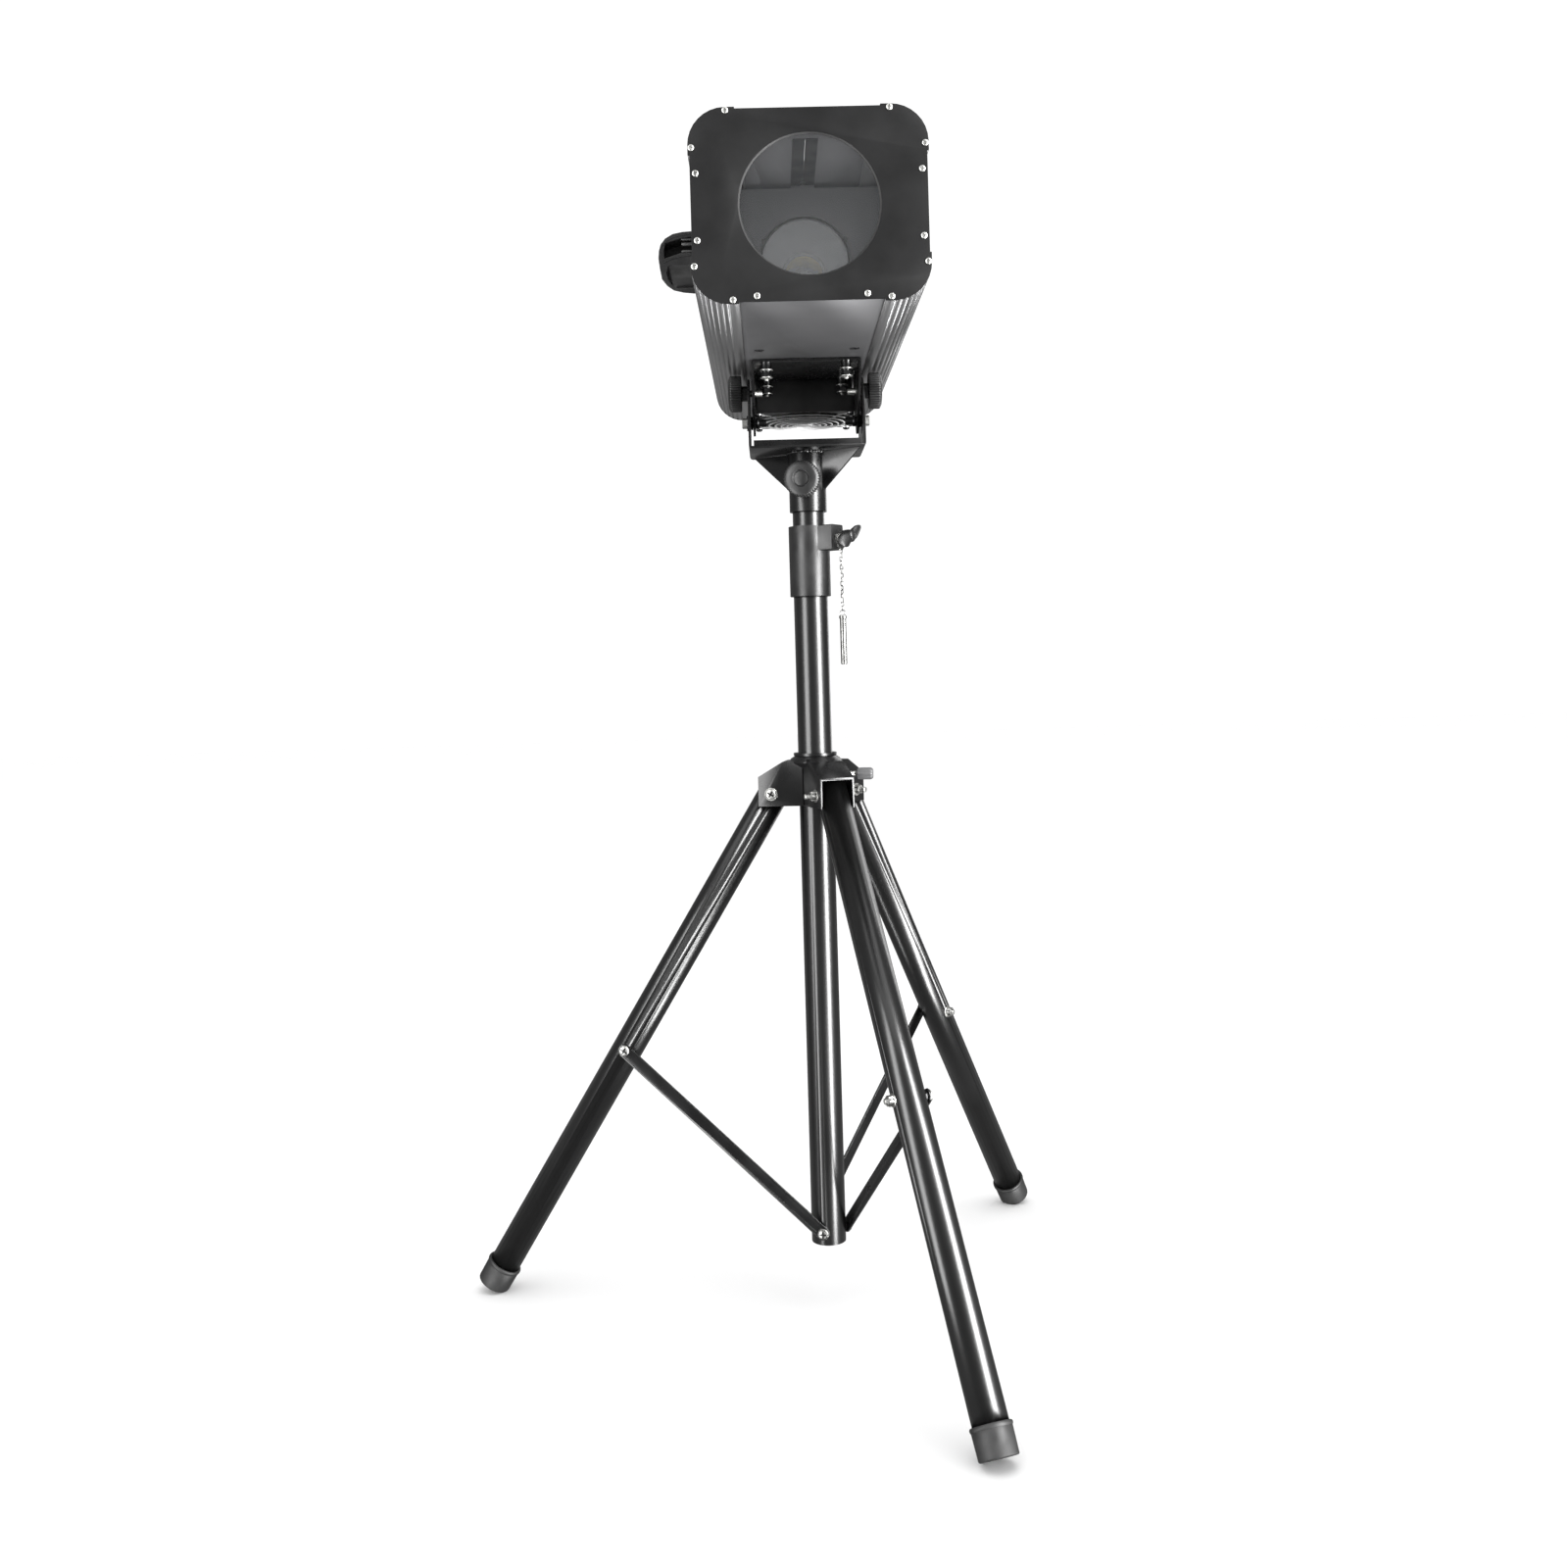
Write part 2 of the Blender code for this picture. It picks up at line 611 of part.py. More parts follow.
def build_yoke(pole):
    turn = joint("pan", pole, UP * SOCKET_BOTTOM, UP)
    half, low, r = YOKE_HALF, YOKE_BASE, YOKE_DEPTH / 2
    high = TILT_Z + r + 3
    corner = (half - BEND, low + BEND)
    # The section's right half: down the inside of the arm, round the bend, and back up the outside.
    inner = [(half - SHEET, high), *reversed(arc(corner, BEND - SHEET, -90, 0, 3))]
    outer = arc(corner, BEND, -90, 0, 4) + [(half, high)]
    section = inner + mirrored(inner) + mirrored(outer) + outer
    channel = turned(prism(section, -r, r), end_on())
    # What the round tops of the two arms leave over is cut away.
    far = r + PAST
    crown = arc((0, TILT_Z), r, 0, 180, 16)
    crown += [(-far, TILT_Z), (-far, high + PAST), (far, high + PAST), (far, TILT_Z)]
    cuts = [turned(prism(crown, -half - PAST, half + PAST), side_on())]
    axle = frame_at(UP * TILT_Z, (1, 0, 0), UP)
    cuts.append(turned(rod(STUD_R + GAP, -half - PAST, half + PAST, 16), axle))
    slot = slot_outline(TILT_KNOB_RISE, STUD_R + SINK, -TILT_UP - PAST, TILT_DOWN + PAST)
    cuts.append(turned(prism(slot, -half - PAST, half + PAST), side_on()))
    flange = half - BEND - 2
    edges = []
    for sign in (-1, 1):
        y = sorted((sign * (r - 0.02), sign * (r - SHEET + 0.02)))
        edges.append(box((-flange, y[0], low + 0.4), (flange, y[1], low + YOKE_FLANGE)))
    piece("yoke", channel, turn, POLISHED_BLACK, edges, cuts)

    top = YOKE_BASE - GAP
    body = rod(SOCKET_R, SOCKET_BOTTOM, top, TUBE_SIDES)
    bore = rod(POLE_R + GAP, SOCKET_BOTTOM - PAST, top + PAST, TUBE_SIDES)
    outline = [(top - 0.02, -WEB_HALF), (top - 0.02, WEB_HALF)]
    outline += [(WEB_TIP, WEB_TIP_HALF), (WEB_TIP, -WEB_TIP_HALF)]
    web = prism(outline, -WEB_THICK / 2, WEB_THICK / 2)
    out = radial(PAN_KNOB_AZIMUTH)
    screw_line = frame_at(UP * PAN_KNOB_Z, out, UP)
    hole = turned(rod(STUD_R + GAP, SOCKET_R / 2, 2 * SOCKET_R, 12), screw_line)
    joined = [turned(web, frame_at((0, 0, 0), radial(WEB_AZIMUTH - 90), UP))]
    piece("pan_socket", body, turn, POLISHED_BLACK, joined, [bore, hole])

    face = SOCKET_R + 12.25
    knob_turn = joint("pan_knob", turn, out * face + UP * PAN_KNOB_Z, out)
    knob("pan_knob", knob_turn, screw_line, POLE_R + GAP, SOCKET_R + 3.25, face)
    return turn


def knob(name, parent, line, tip, collar, face):
    """A fluted hand knob on a stud. The places are distances along the line that it turns about."""
    stud = rod(STUD_R, tip, face + 2, 12)
    neck = rod(8.5, collar, face + 1, 16)
    head = prism(fluted(KNOB_R, 0.8, KNOB_FLUTES), face, face + KNOB_HEIGHT)
    top = face + KNOB_HEIGHT
    crown = [(0, top - 1), (KNOB_R - 1.2, top - 1), (KNOB_R - 2.6, top + 2), (8.8, top + 2), (7.5, top + 0.6)]
    joined = [turned(shape, line) for shape in (stud, neck, lathe([*crown, (0, top + 0.2)], KNOB_FLUTES))]
    piece(name, turned(head, line), parent, MATT_BLACK, joined)


# The tilt bracket


def build_tilt(yoke):
    turn = joint("tilt", yoke, UP * TILT_Z, (1, 0, 0))
    top = AXIS_Z - HALF_H + RECESS - GAP
    half = BRACKET_HALF
    low = TILT_Z - BRACKET_EYE_R
    corner = (half - BEND, top - BEND)
    outer = [(half, low - 3), *arc(corner, BEND, 0, 90, 4)]
    inner = [*arc(corner, BEND - SHEET, 90, 0, 3), (half - SHEET, low - 3)]
    section = outer + mirrored(outer) + mirrored(inner) + inner
    channel = turned(prism(section, BRACKET_FRONT, BRACKET_REAR), end_on())
    # Each wall narrows to a round eye about the tilt axis.
    eye = arc((0, TILT_Z), BRACKET_EYE_R, 200, 345, 8)
    skirt = top - BRACKET_SKIRT
    waste = [(BRACKET_FRONT - PAST, skirt), (BRACKET_FRONT, skirt), *eye, (BRACKET_REAR, skirt)]
    waste += [(BRACKET_REAR + PAST, skirt), (BRACKET_REAR + PAST, low - PAST)]
    waste.append((BRACKET_FRONT - PAST, low - PAST))
    cuts = [turned(prism(waste, -half - PAST, half + PAST), side_on())]
    for z in (TILT_Z, TILT_Z + TILT_KNOB_RISE):
        hole = rod(STUD_R + GAP, -half - PAST, half + PAST, 16)
        cuts.append(turned(hole, frame_at(UP * z, (1, 0, 0), UP)))
    # The bolts that hold the head hang below the top plate: a sleeve, a washer, a nut and a last thin nut.
    under = top - SHEET
    profile = [(0, under + 1), (5.5, under + 1), (5.5, under - 8), (6.4, under - 8), (6.4, under - 9.6)]
    profile += [(4.6, under - 9.6), (4.6, under - 16), (6.0, under - 16), (6.0, under - 17.5)]
    profile.append((0, under - 17.5))
    places = [(x, y) for x in (-BRACKET_BOLTS_X, BRACKET_BOLTS_X) for y in BRACKET_BOLTS_Y]
    bolts = [shifted(lathe(profile, 12), x, y, 0) for x, y in places]
    piece("tilt_bracket", channel, turn, POLISHED_BLACK, bolts, cuts)

    for side, sign in (("left", -1), ("right", 1)):
        # A washer stands between the bracket's wall and the yoke's arm, and a cap outside the arm.
        wall, arm = half - SHEET, YOKE_HALF - SHEET
        cap = YOKE_HALF + GAP
        profile = [(0, wall - 12), (4.4, wall - 12), (4.4, wall - 4), (6.2, wall - 4), (6.2, wall - GAP)]
        profile += [(STUD_R, wall - GAP), (STUD_R, half + GAP), (7.5, half + GAP), (7.5, arm - GAP)]
        profile += [(STUD_R, arm - GAP), (STUD_R, cap), (5.6, cap), (5.6, cap + 5.7), (4.6, cap + 6.7)]
        profile.append((0, cap + 6.7))
        line = frame_at(UP * TILT_Z, (sign, 0, 0), UP)
        piece(f"pivot_bolt_{side}", turned(lathe(profile, 16), line), turn, ZINC)
        rise = UP * (TILT_Z + TILT_KNOB_RISE)
        out = Vector((sign, 0, 0))
        knob_turn = joint(f"tilt_knob_{side}", turn, rise + out * TILT_KNOB_X, out)
        line = frame_at(rise, out, UP)
        knob(f"tilt_knob_{side}", knob_turn, line, wall - 8, YOKE_HALF + GAP, TILT_KNOB_X)
    return turn


# The head's casing


def at_axis(y):
    """Places a prism drawn as (x, height over the optical axis), with its thickness running back from y."""
    return Matrix.Translation((0, y, AXIS_Z)) @ end_on()


def along_axis(y):
    """A line along the optical axis, counted back from y."""
    return frame_at((0, y, AXIS_Z), (0, 1, 0), (1, 0, 0))


def casing_outline():
    """The front and rear plates: round corners that stand proud of the flat sides."""
    u, v = HALF_W - CORNER_R, HALF_H - CORNER_R
    quarter = [(HALF_W - RECESS, FLAT_HALF_H), (HALF_W, FLAT_HALF_H)] + arc((u, v), CORNER_R, 0, 90, 8)
    quarter += [(FLAT_HALF_W, HALF_H), (FLAT_HALF_W, HALF_H - RECESS)]
    half = quarter + mirrored(quarter)
    return half + [(-x, -y) for x, y in half]


def rail_outline():
    """A corner rail in the top right quarter: a ribbed arc, two flat strips, and a lip behind each panel."""
    u, v = HALF_W - CORNER_R, HALF_H - CORNER_R
    edge_u, edge_v = FLAT_HALF_W + GAP, FLAT_HALF_H + GAP
    lip_u, lip_v = HALF_W - RECESS - PANEL - GAP, HALF_H - RECESS - PANEL - GAP
    outline = [(HALF_W, edge_v)]
    pitch = 90 / RIB_COUNT
    for i in range(RIB_COUNT):
        for share, depth in ((0.0, 0), (0.55, 0), (0.66, RIB_DEPTH), (0.89, RIB_DEPTH)):
            a = radians(pitch * (i + share))
            r = CORNER_R - depth
            outline.append((u + r * cos(a), v + r * sin(a)))
    inner = CORNER_R - RAIL_WALL
    lip_end_u, lip_end_v = edge_u - RAIL_LIP, edge_v - RAIL_LIP
    outline += [(u, HALF_H), (edge_u, HALF_H), (edge_u, lip_v), (lip_end_u, lip_v)]
    outline.append((lip_end_u, v + inner))
    outline += arc((u, v), inner, 90, 0, 6)
    outline += [(u + inner, lip_end_v), (lip_u, lip_end_v), (lip_u, edge_v)]
    return outline


def build_casing(head):
    plate = turned(prism(casing_outline(), 0, FRONT_PLATE), at_axis(HEAD_FRONT))
    hole = turned(rod(LENS_HOLE_R, -PAST, PAST, 48), along_axis(HEAD_FRONT))
    piece("front_plate", plate, head, MATT_BLACK, [], [hole])
    profile = [(0, 0), (LENS_R, 0), (LENS_R, 3), (50, 7), (28, 9.5), (0, 10.5)]
    start, end = HEAD_FRONT + FRONT_PLATE + GAP, HEAD_REAR - REAR_PLATE - GAP
    piece("front_lens", turned(lathe(profile, 40), along_axis(start)), head, GLASS)

    for level, up in (("top", 1), ("bottom", -1)):
        for side, right in (("left", -1), ("right", 1)):
            outline = [(right * u, up * v) for u, v in rail_outline()]
            rail = turned(prism(outline, 0, end - start), at_axis(start))
            piece(f"rail_{level}_{side}", rail, head, GREY_ALUMINIUM)

    u, v = FLAT_HALF_W - GAP, FLAT_HALF_H - GAP
    top, side = HALF_H - RECESS, HALF_W - RECESS
    under, over = AXIS_Z + top - PANEL - PAST, AXIS_Z + top + PAST
    screw = FOCUS_Y + FOCUS_SCREW
    reach = top * tan(radians(IRIS_SWING)) + 6
    slots = [
        box((-4, screw - FOCUS_FORWARD - 7, under), (4, screw + FOCUS_BACK + 6, over)),
        box((-reach, IRIS_Y + 3, under), (reach, IRIS_Y + 11, over)),
    ]
    sheet = box((-u, start, AXIS_Z + top - PANEL), (u, end, AXIS_Z + top))
    piece("top_panel", sheet, head, GREY_ALUMINIUM, [], slots)
    sheet = box((-u, start, AXIS_Z - top), (u, end, AXIS_Z - top + PANEL))
    intake = shifted(rod(FAN_DUCT_R - 2, AXIS_Z - top - PAST, AXIS_Z - top + PAST, 32), 0, FAN_MIDDLE, 0)
    piece("bottom_panel", sheet, head, GREY_ALUMINIUM, [], [intake])
    for name, x in (("left_panel", -side), ("right_panel", side - PANEL)):
        piece(name, box((x, start, AXIS_Z - v), (x + PANEL, end, AXIS_Z + v)), head, GREY_ALUMINIUM)


def build_grip(head):
    """A moulded side grip: a D in section, with a hollow for the fingers behind a hoop at its front."""
    wall = -HALF_W + RECESS - GAP
    outline = [(0, 22.4), (6.1, 22.1), (13.3, 21.7), (22.7, 19.9), (30, 15.7), (34.5, 10), (36.4, 3.6)]
    outline += [(37, -3.6), (35.8, -13.7), (34, -23.9), (29.1, -30.4), (22.8, -34.9), (13.5, -37.2)]
    outline += [(3.5, -38.3), (0, -38.4)]
    fingers = [(3.5, -10.3), (23.5, -10), (27.5, -11.4), (29.3, -17.5), (27.9, -24), (24.8, -28.7)]
    fingers += [(21.3, -32.4), (3.5, -32.7)]
    pocket = [(2.5, 17.6), (15.3, 15.1), (30.1, 11), (31.4, 3.5), (31.2, -3.7), (15.5, 1.2), (2.5, 1.2)]
    front, rear = GRIP_FRONT, GRIP_FRONT + GRIP_LENGTH

    def section(points, low, high):
        drawn = [(wall - u, GRIP_Z + v) for u, v in points]
        return turned(prism(drawn, low, high), end_on())

    lowest = GRIP_Z + min(v for _, v in outline)
    lift = (GRIP_LENGTH + PAST - GRIP_HOOP) * tan(radians(GRIP_RISE))
    under = [(front + GRIP_HOOP, lowest - PAST), (front + GRIP_HOOP, lowest - 0.2)]
    under += [(rear + PAST, lowest + lift), (rear + PAST, lowest - PAST)]
    cuts = [section(fingers, front - PAST, rear - GRIP_BACK), section(pocket, front - PAST, front + 24)]
    cuts.append(turned(prism(under, wall - 60, wall + 20), side_on()))
    seat = AXIS_Z - FLAT_HALF_H + 0.2
    cuts.append(box((-HALF_W - GAP, front - PAST, seat - 60), (wall + 20, rear + PAST, seat)))
    piece("side_handle", section(outline, front, rear), head, MATT_BLACK, [], cuts)


# Inside the head


def build_optics(head):
    slide = joint("focus", head, (0, FOCUS_Y, AXIS_Z), (0, 1, 0))
    line = along_axis(FOCUS_Y)
    barrel_r, bore_r = FOCUS_LENS_R + 3, FOCUS_LENS_R - 1
    plate = prism(rounded(INNER_HALF_W, 76, INNER_CORNER_R, 4), 0, INNER_PLATE)
    tab = box((-12, FOCUS_Y, AXIS_Z + 74), (12, FOCUS_Y + 2 * FOCUS_SCREW, AXIS_Z + 79))
    barrel = turned(lathe([(barrel_r, 1), (barrel_r, 10), (bore_r, 10), (bore_r, 1)], 40), line)
    screw_y = FOCUS_Y + FOCUS_SCREW
    cuts = [turned(rod(bore_r, -PAST, 10 + PAST, 40), line)]
    cuts.append(shifted(rod(BOLT_R + GAP, AXIS_Z + 74 - PAST, AXIS_Z + 79 + PAST, 12), 0, screw_y, 0))
    piece("focus_carriage", turned(plate, at_axis(FOCUS_Y)), slide, GREY_PLASTIC, [tab, barrel], cuts)
    r = bore_r - GAP
    profile = [(0, -1.5), (r * 0.7, 0), (r, 2.5), (r, 5), (r * 0.7, 8), (0, 10)]
    piece("focus_lens", turned(lathe(profile, 32), line), slide, GLASS)
    top = AXIS_Z + HALF_H
    turn = joint("focus_knob", slide, (0, screw_y, top), (0, 0, 1))
    profile = [(0, AXIS_Z + 70), (BOLT_R, AXIS_Z + 70), (BOLT_R, top), (11, top), (11.5, top + 2)]
    profile += [(11, top + 13), (9.5, top + 15), (0, top + 15)]
    piece("focus_knob", shifted(lathe(profile, 20), 0, screw_y, 0), turn, MATT_BLACK)

    plate = turned(prism(rounded(INNER_HALF_W, 78, INNER_CORNER_R, 4), 0, INNER_PLATE), at_axis(IRIS_Y))
    gate = turned(rod(IRIS_HOLE_R, -PAST, PAST, 32), along_axis(IRIS_Y))
    piece("iris_plate", plate, head, GREY_PLASTIC, [], [gate])
    lever_y = IRIS_Y + 7
    swing = joint("iris", head, (0, lever_y - 1, AXIS_Z), (0, 1, 0))
    ring = turned(tube(34, 24, INNER_PLATE + GAP, 10, 32), along_axis(IRIS_Y))
    arm = box((-3, lever_y - 2, AXIS_Z + 30), (3, lever_y + 2, top + 14))
    grip = shifted(rod(5, top + 8, top + 18, 12), 0, lever_y, 0)
    piece("iris_lever", ring, swing, MATT_BLACK, [arm, grip])

    guide = box((-GUIDE_HALF_W, -320, FLOOR_Z), (GUIDE_HALF_W, IRIS_Y - 4, AXIS_Z - 76.5))
    piece("guide_rail", guide, head, BARE_ALUMINIUM)

    profile = [(0, 70), (18, 68), (32, 48), (42, 20), (43.5, 0), (46.5, 0), (45, 22), (35, 52), (28, 68)]
    cup = turned(lathe([*profile, (28, 78), (0, 78)], 28), along_axis(REFLECTOR_Y))
    piece("lamp_reflector", cup, head, BARE_ALUMINIUM)
    half = SINK_FINS * SINK_PITCH / 2
    outline = [(-half, 0), (half, 0)]
    for i in reversed(range(SINK_FINS)):
        left = i * SINK_PITCH - half + (SINK_PITCH - SINK_FIN) / 2
        right = left + SINK_FIN
        outline += [(right, SINK_BASE), (right, SINK_DEPTH), (left, SINK_DEPTH), (left, SINK_BASE)]
    sink = turned(prism(outline, AXIS_Z - 60, AXIS_Z + 60), Matrix.Translation((0, SINK_Y + GAP, 0)))
    piece("heatsink", sink, head, BARE_ALUMINIUM)
    # The power supply stands on the bottom panel, clear of the corner rails.
    across, half_w, half_h, y, length = -10, 45, 20, 180, 90
    case = prism(rounded(half_w, half_h, 2, 1), 0, length)
    supply = turned(case, Matrix.Translation((across, y, FLOOR_Z + half_h)) @ end_on())
    lid_z = FLOOR_Z + 2 * half_h
    lid = box((across - half_w + 5, y + 10, lid_z - 1), (across + half_w - 5, y + length - 10, lid_z + 3))
    piece("power_supply", supply, head, BARE_ALUMINIUM, [lid])


def build_fan(head):
    top = AXIS_Z - HALF_H + RECESS - GAP
    low = top - FAN_DEPTH
    half = FAN_SIZE / 2

    def centred(shape):
        return shifted(shape, 0, FAN_MIDDLE, 0)

    def crossed(bar):
        return [centred(turned(bar, Matrix.Rotation(radians(turn), 4, "Z"))) for turn in (45, 135)]

    frame = centred(prism(rounded(half, half, 7, 3), low, top))
    duct = centred(rod(FAN_DUCT_R, low - PAST, top + PAST, 36))
    spider = [centred(rod(FAN_HUB_R, top - 6, top - 0.02, 20))]
    spider += crossed(box((-half + 1.5, -3, top - 4), (half - 1.5, 3, top - 0.04)))
    piece("fan_frame", frame, head, MATT_BLACK, [], [duct], spider)

    level = low + 15
    spin = joint("fan", head, (0, FAN_MIDDLE, level), (0, 0, 1))
    profile = [(0, low + 2), (FAN_HUB_R - 2, low + 2), (FAN_HUB_R, low + 4), (FAN_HUB_R, top - 8)]
    profile.append((0, top - 8))
    blades = []
    for i in range(FAN_BLADES):
        blade = prism([(15, -4), (52, -9), (54, 6), (34, 10), (15, 6)], -0.9, 0.9)
        turn = Matrix.Rotation(2 * pi * i / FAN_BLADES, 4, "Z") @ Matrix.Rotation(radians(FAN_PITCH), 4, "X")
        blades.append(turned(blade, Matrix.Translation((0, FAN_MIDDLE, level)) @ turn))
    piece("fan_rotor", centred(lathe(profile, 20)), spin, MATT_BLACK, blades)

    # The guard stands below the frame on four feet at the fan's screw holes.
    level, wire = low - GUARD_DROP, GUARD_WIRE
    rings = [centred(tube(r + wire, r - wire, level - wire, level + wire, 28)) for r in GUARD_RINGS]
    reach = FAN_SCREW * sqrt(2)
    bar = box((-reach, -wire, level - wire + 0.03), (reach, wire, level + wire - 0.03))
    joined = rings[1:] + crossed(bar)
    for x in (-FAN_SCREW, FAN_SCREW):
        for y in (-FAN_SCREW, FAN_SCREW):
            joined.append(centred(shifted(rod(3.2, level - wire + 0.06, low - GAP, 8), x, y, 0)))
    piece("fan_guard", rings[0], head, ZINC, joined)


# The rear panel and its controls


def build_rear(head):
    inside = HEAD_REAR - REAR_PLATE
    low, high = inside - PAST, HEAD_REAR + PAST

    def opening(x, z, half_w, half_h):
        w, h = half_w + GAP, half_h + GAP
        return box((x - w, low, AXIS_Z + z - h), (x + w, high, AXIS_Z + z + h))

    def round_opening(x, z, radius):
        place = frame_at((x, HEAD_REAR, AXIS_Z + z), (0, 1, 0), (1, 0, 0))
        return turned(rod(radius + GAP, -PAST, PAST, 24), place)

    cuts = [opening(*DISPLAY), opening(*SWITCH), opening(*INLET)]
    cuts += [round_opening(x, z, BUTTON_R) for x, z in BUTTONS]
    cuts += [round_opening(x, z, SOCKET_BARREL_R) for x, z in SOCKETS.values()]
    for i in range(VENT_COUNT):
        z = AXIS_Z + VENT_LOW + VENT_PITCH * i
        for x in (-VENT_X, VENT_X):
            cuts.append(box((x - VENT_HALF_W, low, z), (x + VENT_HALF_W, high, z + VENT_HEIGHT)))
    plate = turned(prism(casing_outline(), 0, REAR_PLATE), at_axis(inside))
    piece("rear_panel", plate, head, MATT_BLACK, [], [together(cuts)])

    x, z, w, h = DISPLAY
    window = box((x - w, inside - 5, AXIS_Z + z - h), (x + w, HEAD_REAR - 0.6, AXIS_Z + z + h))
    board = box((x - 46, inside - 9, AXIS_Z - 3), (x + 46, inside - 4, AXIS_Z + z + h + 4))
    piece("display", window, head, SCREEN, [board])
    for i, (x, z) in enumerate(BUTTONS):
        place = Vector((x, HEAD_REAR, AXIS_Z + z))
        press = joint(f"button_{i + 1}", head, place, (0, -1, 0))
        # The button starts well in front of the display's board, to leave its travel clear.
        foot = -REAR_PLATE - 1.5
        profile = [(0, foot), (BUTTON_R, foot), (BUTTON_R, 2.2), (BUTTON_R - 0.7, 3.0), (0, 3.0)]
        button = turned(lathe(profile, 16), frame_at(place, (0, 1, 0), (1, 0, 0)))
        piece(f"button_{i + 1}", button, press, GREY_PLASTIC)

    build_switch(head)
    x, z, w, h = INLET
    at_rear = at_axis(HEAD_REAR) @ Matrix.Translation((x, z, 0))
    bezel = prism(rounded(w + 3.2, h + 3.2, 2, 2), GAP, 2.4)
    body = prism(rounded(w, h, 1, 1), -20, 1.0)
    mouth = [(-11.5, -7.5), (11.5, -7.5), (11.5, 3), (7, 7.5), (-7, 7.5), (-11.5, 3)]
    well = turned(prism(mouth, -14, PAST), at_rear)
    piece("power_inlet", turned(bezel, at_rear), head, MATT_BLACK, [turned(body, at_rear)], [well])
    for name, (x, z) in SOCKETS.items():
        at_rear = at_axis(HEAD_REAR) @ Matrix.Translation((x, z, 0))
        flange = prism(rounded(13.2, 15.8, 2, 2), GAP, 2.2)
        barrel = rod(SOCKET_BARREL_R, -18, 1.0, 24)
        mouth = rod(9.2, -12, PAST, 24)
        piece(name, turned(flange, at_rear), head, ZINC, [turned(barrel, at_rear)], [turned(mouth, at_rear)])


def build_switch(head):
    """A rocker switch. The rocker leans 10 degrees one way at rest, and 10 the other when it is pressed."""
    x, z, w, h = SWITCH
    axis_y = HEAD_REAR - 2
    rock = joint("power_switch", head, (x, axis_y, AXIS_Z + z), (1, 0, 0))
    wall, lean = 1.6, 10
    bezel = prism(rounded(w + 2.5, h + 2.5, 2, 2), GAP, 2.0)
    sleeve = prism(rounded(w, h, 1, 1), -16, 1.0)
    inner_w, inner_h = w - wall, h - wall
    low = (x - inner_w, axis_y - PAST, AXIS_Z + z - inner_h)
    high = (x + inner_w, HEAD_REAR + PAST, AXIS_Z + z + inner_h)
    at_rear = at_axis(HEAD_REAR) @ Matrix.Translation((x, z, 0))
    sleeve = turned(sleeve, at_rear)
    piece("switch_housing", turned(bezel, at_rear), head, MATT_BLACK, [sleeve], [box(low, high)])
    # Its side, as (height, out): hollow in the middle and highest at its two ends.
    rocker = [(-8.4, -0.5), (-9.6, 4.6), (-3, 3.0), (3, 3.0), (9.6, 4.6), (8.4, -0.5), (5, -2.4), (-5, -2.4)]
    tilt = Matrix.Translation((x, axis_y, AXIS_Z + z)) @ Matrix.Rotation(radians(lean), 4, "X")
    drawn = Matrix(((0, 0, 1, 0), (0, 1, 0, 0), (1, 0, 0, 0), (0, 0, 0, 1)))
    half = inner_w - SINK
    piece("power_switch", turned(prism(rocker, -half, half), tilt @ drawn), rock, MATT_BLACK)


def centre_on_footprint(root):
    """Moves the root so that the origin is under the middle of the whole object's box, on the floor."""
    bpy.context.view_layer.update()
    graph = bpy.context.evaluated_depsgraph_get()
    corners = []
    for obj in bpy.context.scene.objects:
        if obj.type == "MESH" and not obj.hide_render:
            shape = obj.evaluated_get(graph)
            corners += [shape.matrix_world @ vertex.co for vertex in shape.data.vertices]
    low = [min(point[i] for point in corners) for i in range(3)]
    high = [max(point[i] for point in corners) for i in range(3)]
    root.location = (-(low[0] + high[0]) / 2, -(low[1] + high[1]) / 2, -low[2])


root = empty("stand", None, Matrix())
boss_frame = build_column(root)
build_hitch(root, boss_frame)
pole_slide = build_pole(root)
collar_slide = build_collar(root)
for leg_name, leg_azimuth in LEG_AZIMUTHS.items():
    build_leg(leg_name, leg_azimuth, collar_slide)
    build_brace(leg_name, leg_azimuth, root)
pan = build_yoke(pole_slide)
head_tilt = build_tilt(pan)
build_casing(head_tilt)
build_grip(head_tilt)
build_optics(head_tilt)
build_fan(head_tilt)
build_rear(head_tilt)
centre_on_footprint(root)
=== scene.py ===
"""Looks for a follow spot on a folding tripod stand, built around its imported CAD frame.

Shapes are drawn in millimetres and placed by matrices in metres. The frame's joints and boxes say where
things go.
"""

import json

from math import cos, pi, radians, sin

import bmesh
import bpy
from mathutils import Matrix, Vector


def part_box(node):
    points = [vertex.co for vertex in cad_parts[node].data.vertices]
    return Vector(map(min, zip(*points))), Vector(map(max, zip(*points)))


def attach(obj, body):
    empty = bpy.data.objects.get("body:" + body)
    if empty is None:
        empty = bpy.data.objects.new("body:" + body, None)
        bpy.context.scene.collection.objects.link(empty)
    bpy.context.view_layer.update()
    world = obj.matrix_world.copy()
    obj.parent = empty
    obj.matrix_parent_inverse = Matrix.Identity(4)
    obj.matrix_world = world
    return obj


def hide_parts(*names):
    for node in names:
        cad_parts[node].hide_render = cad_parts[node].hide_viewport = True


MM = 0.001

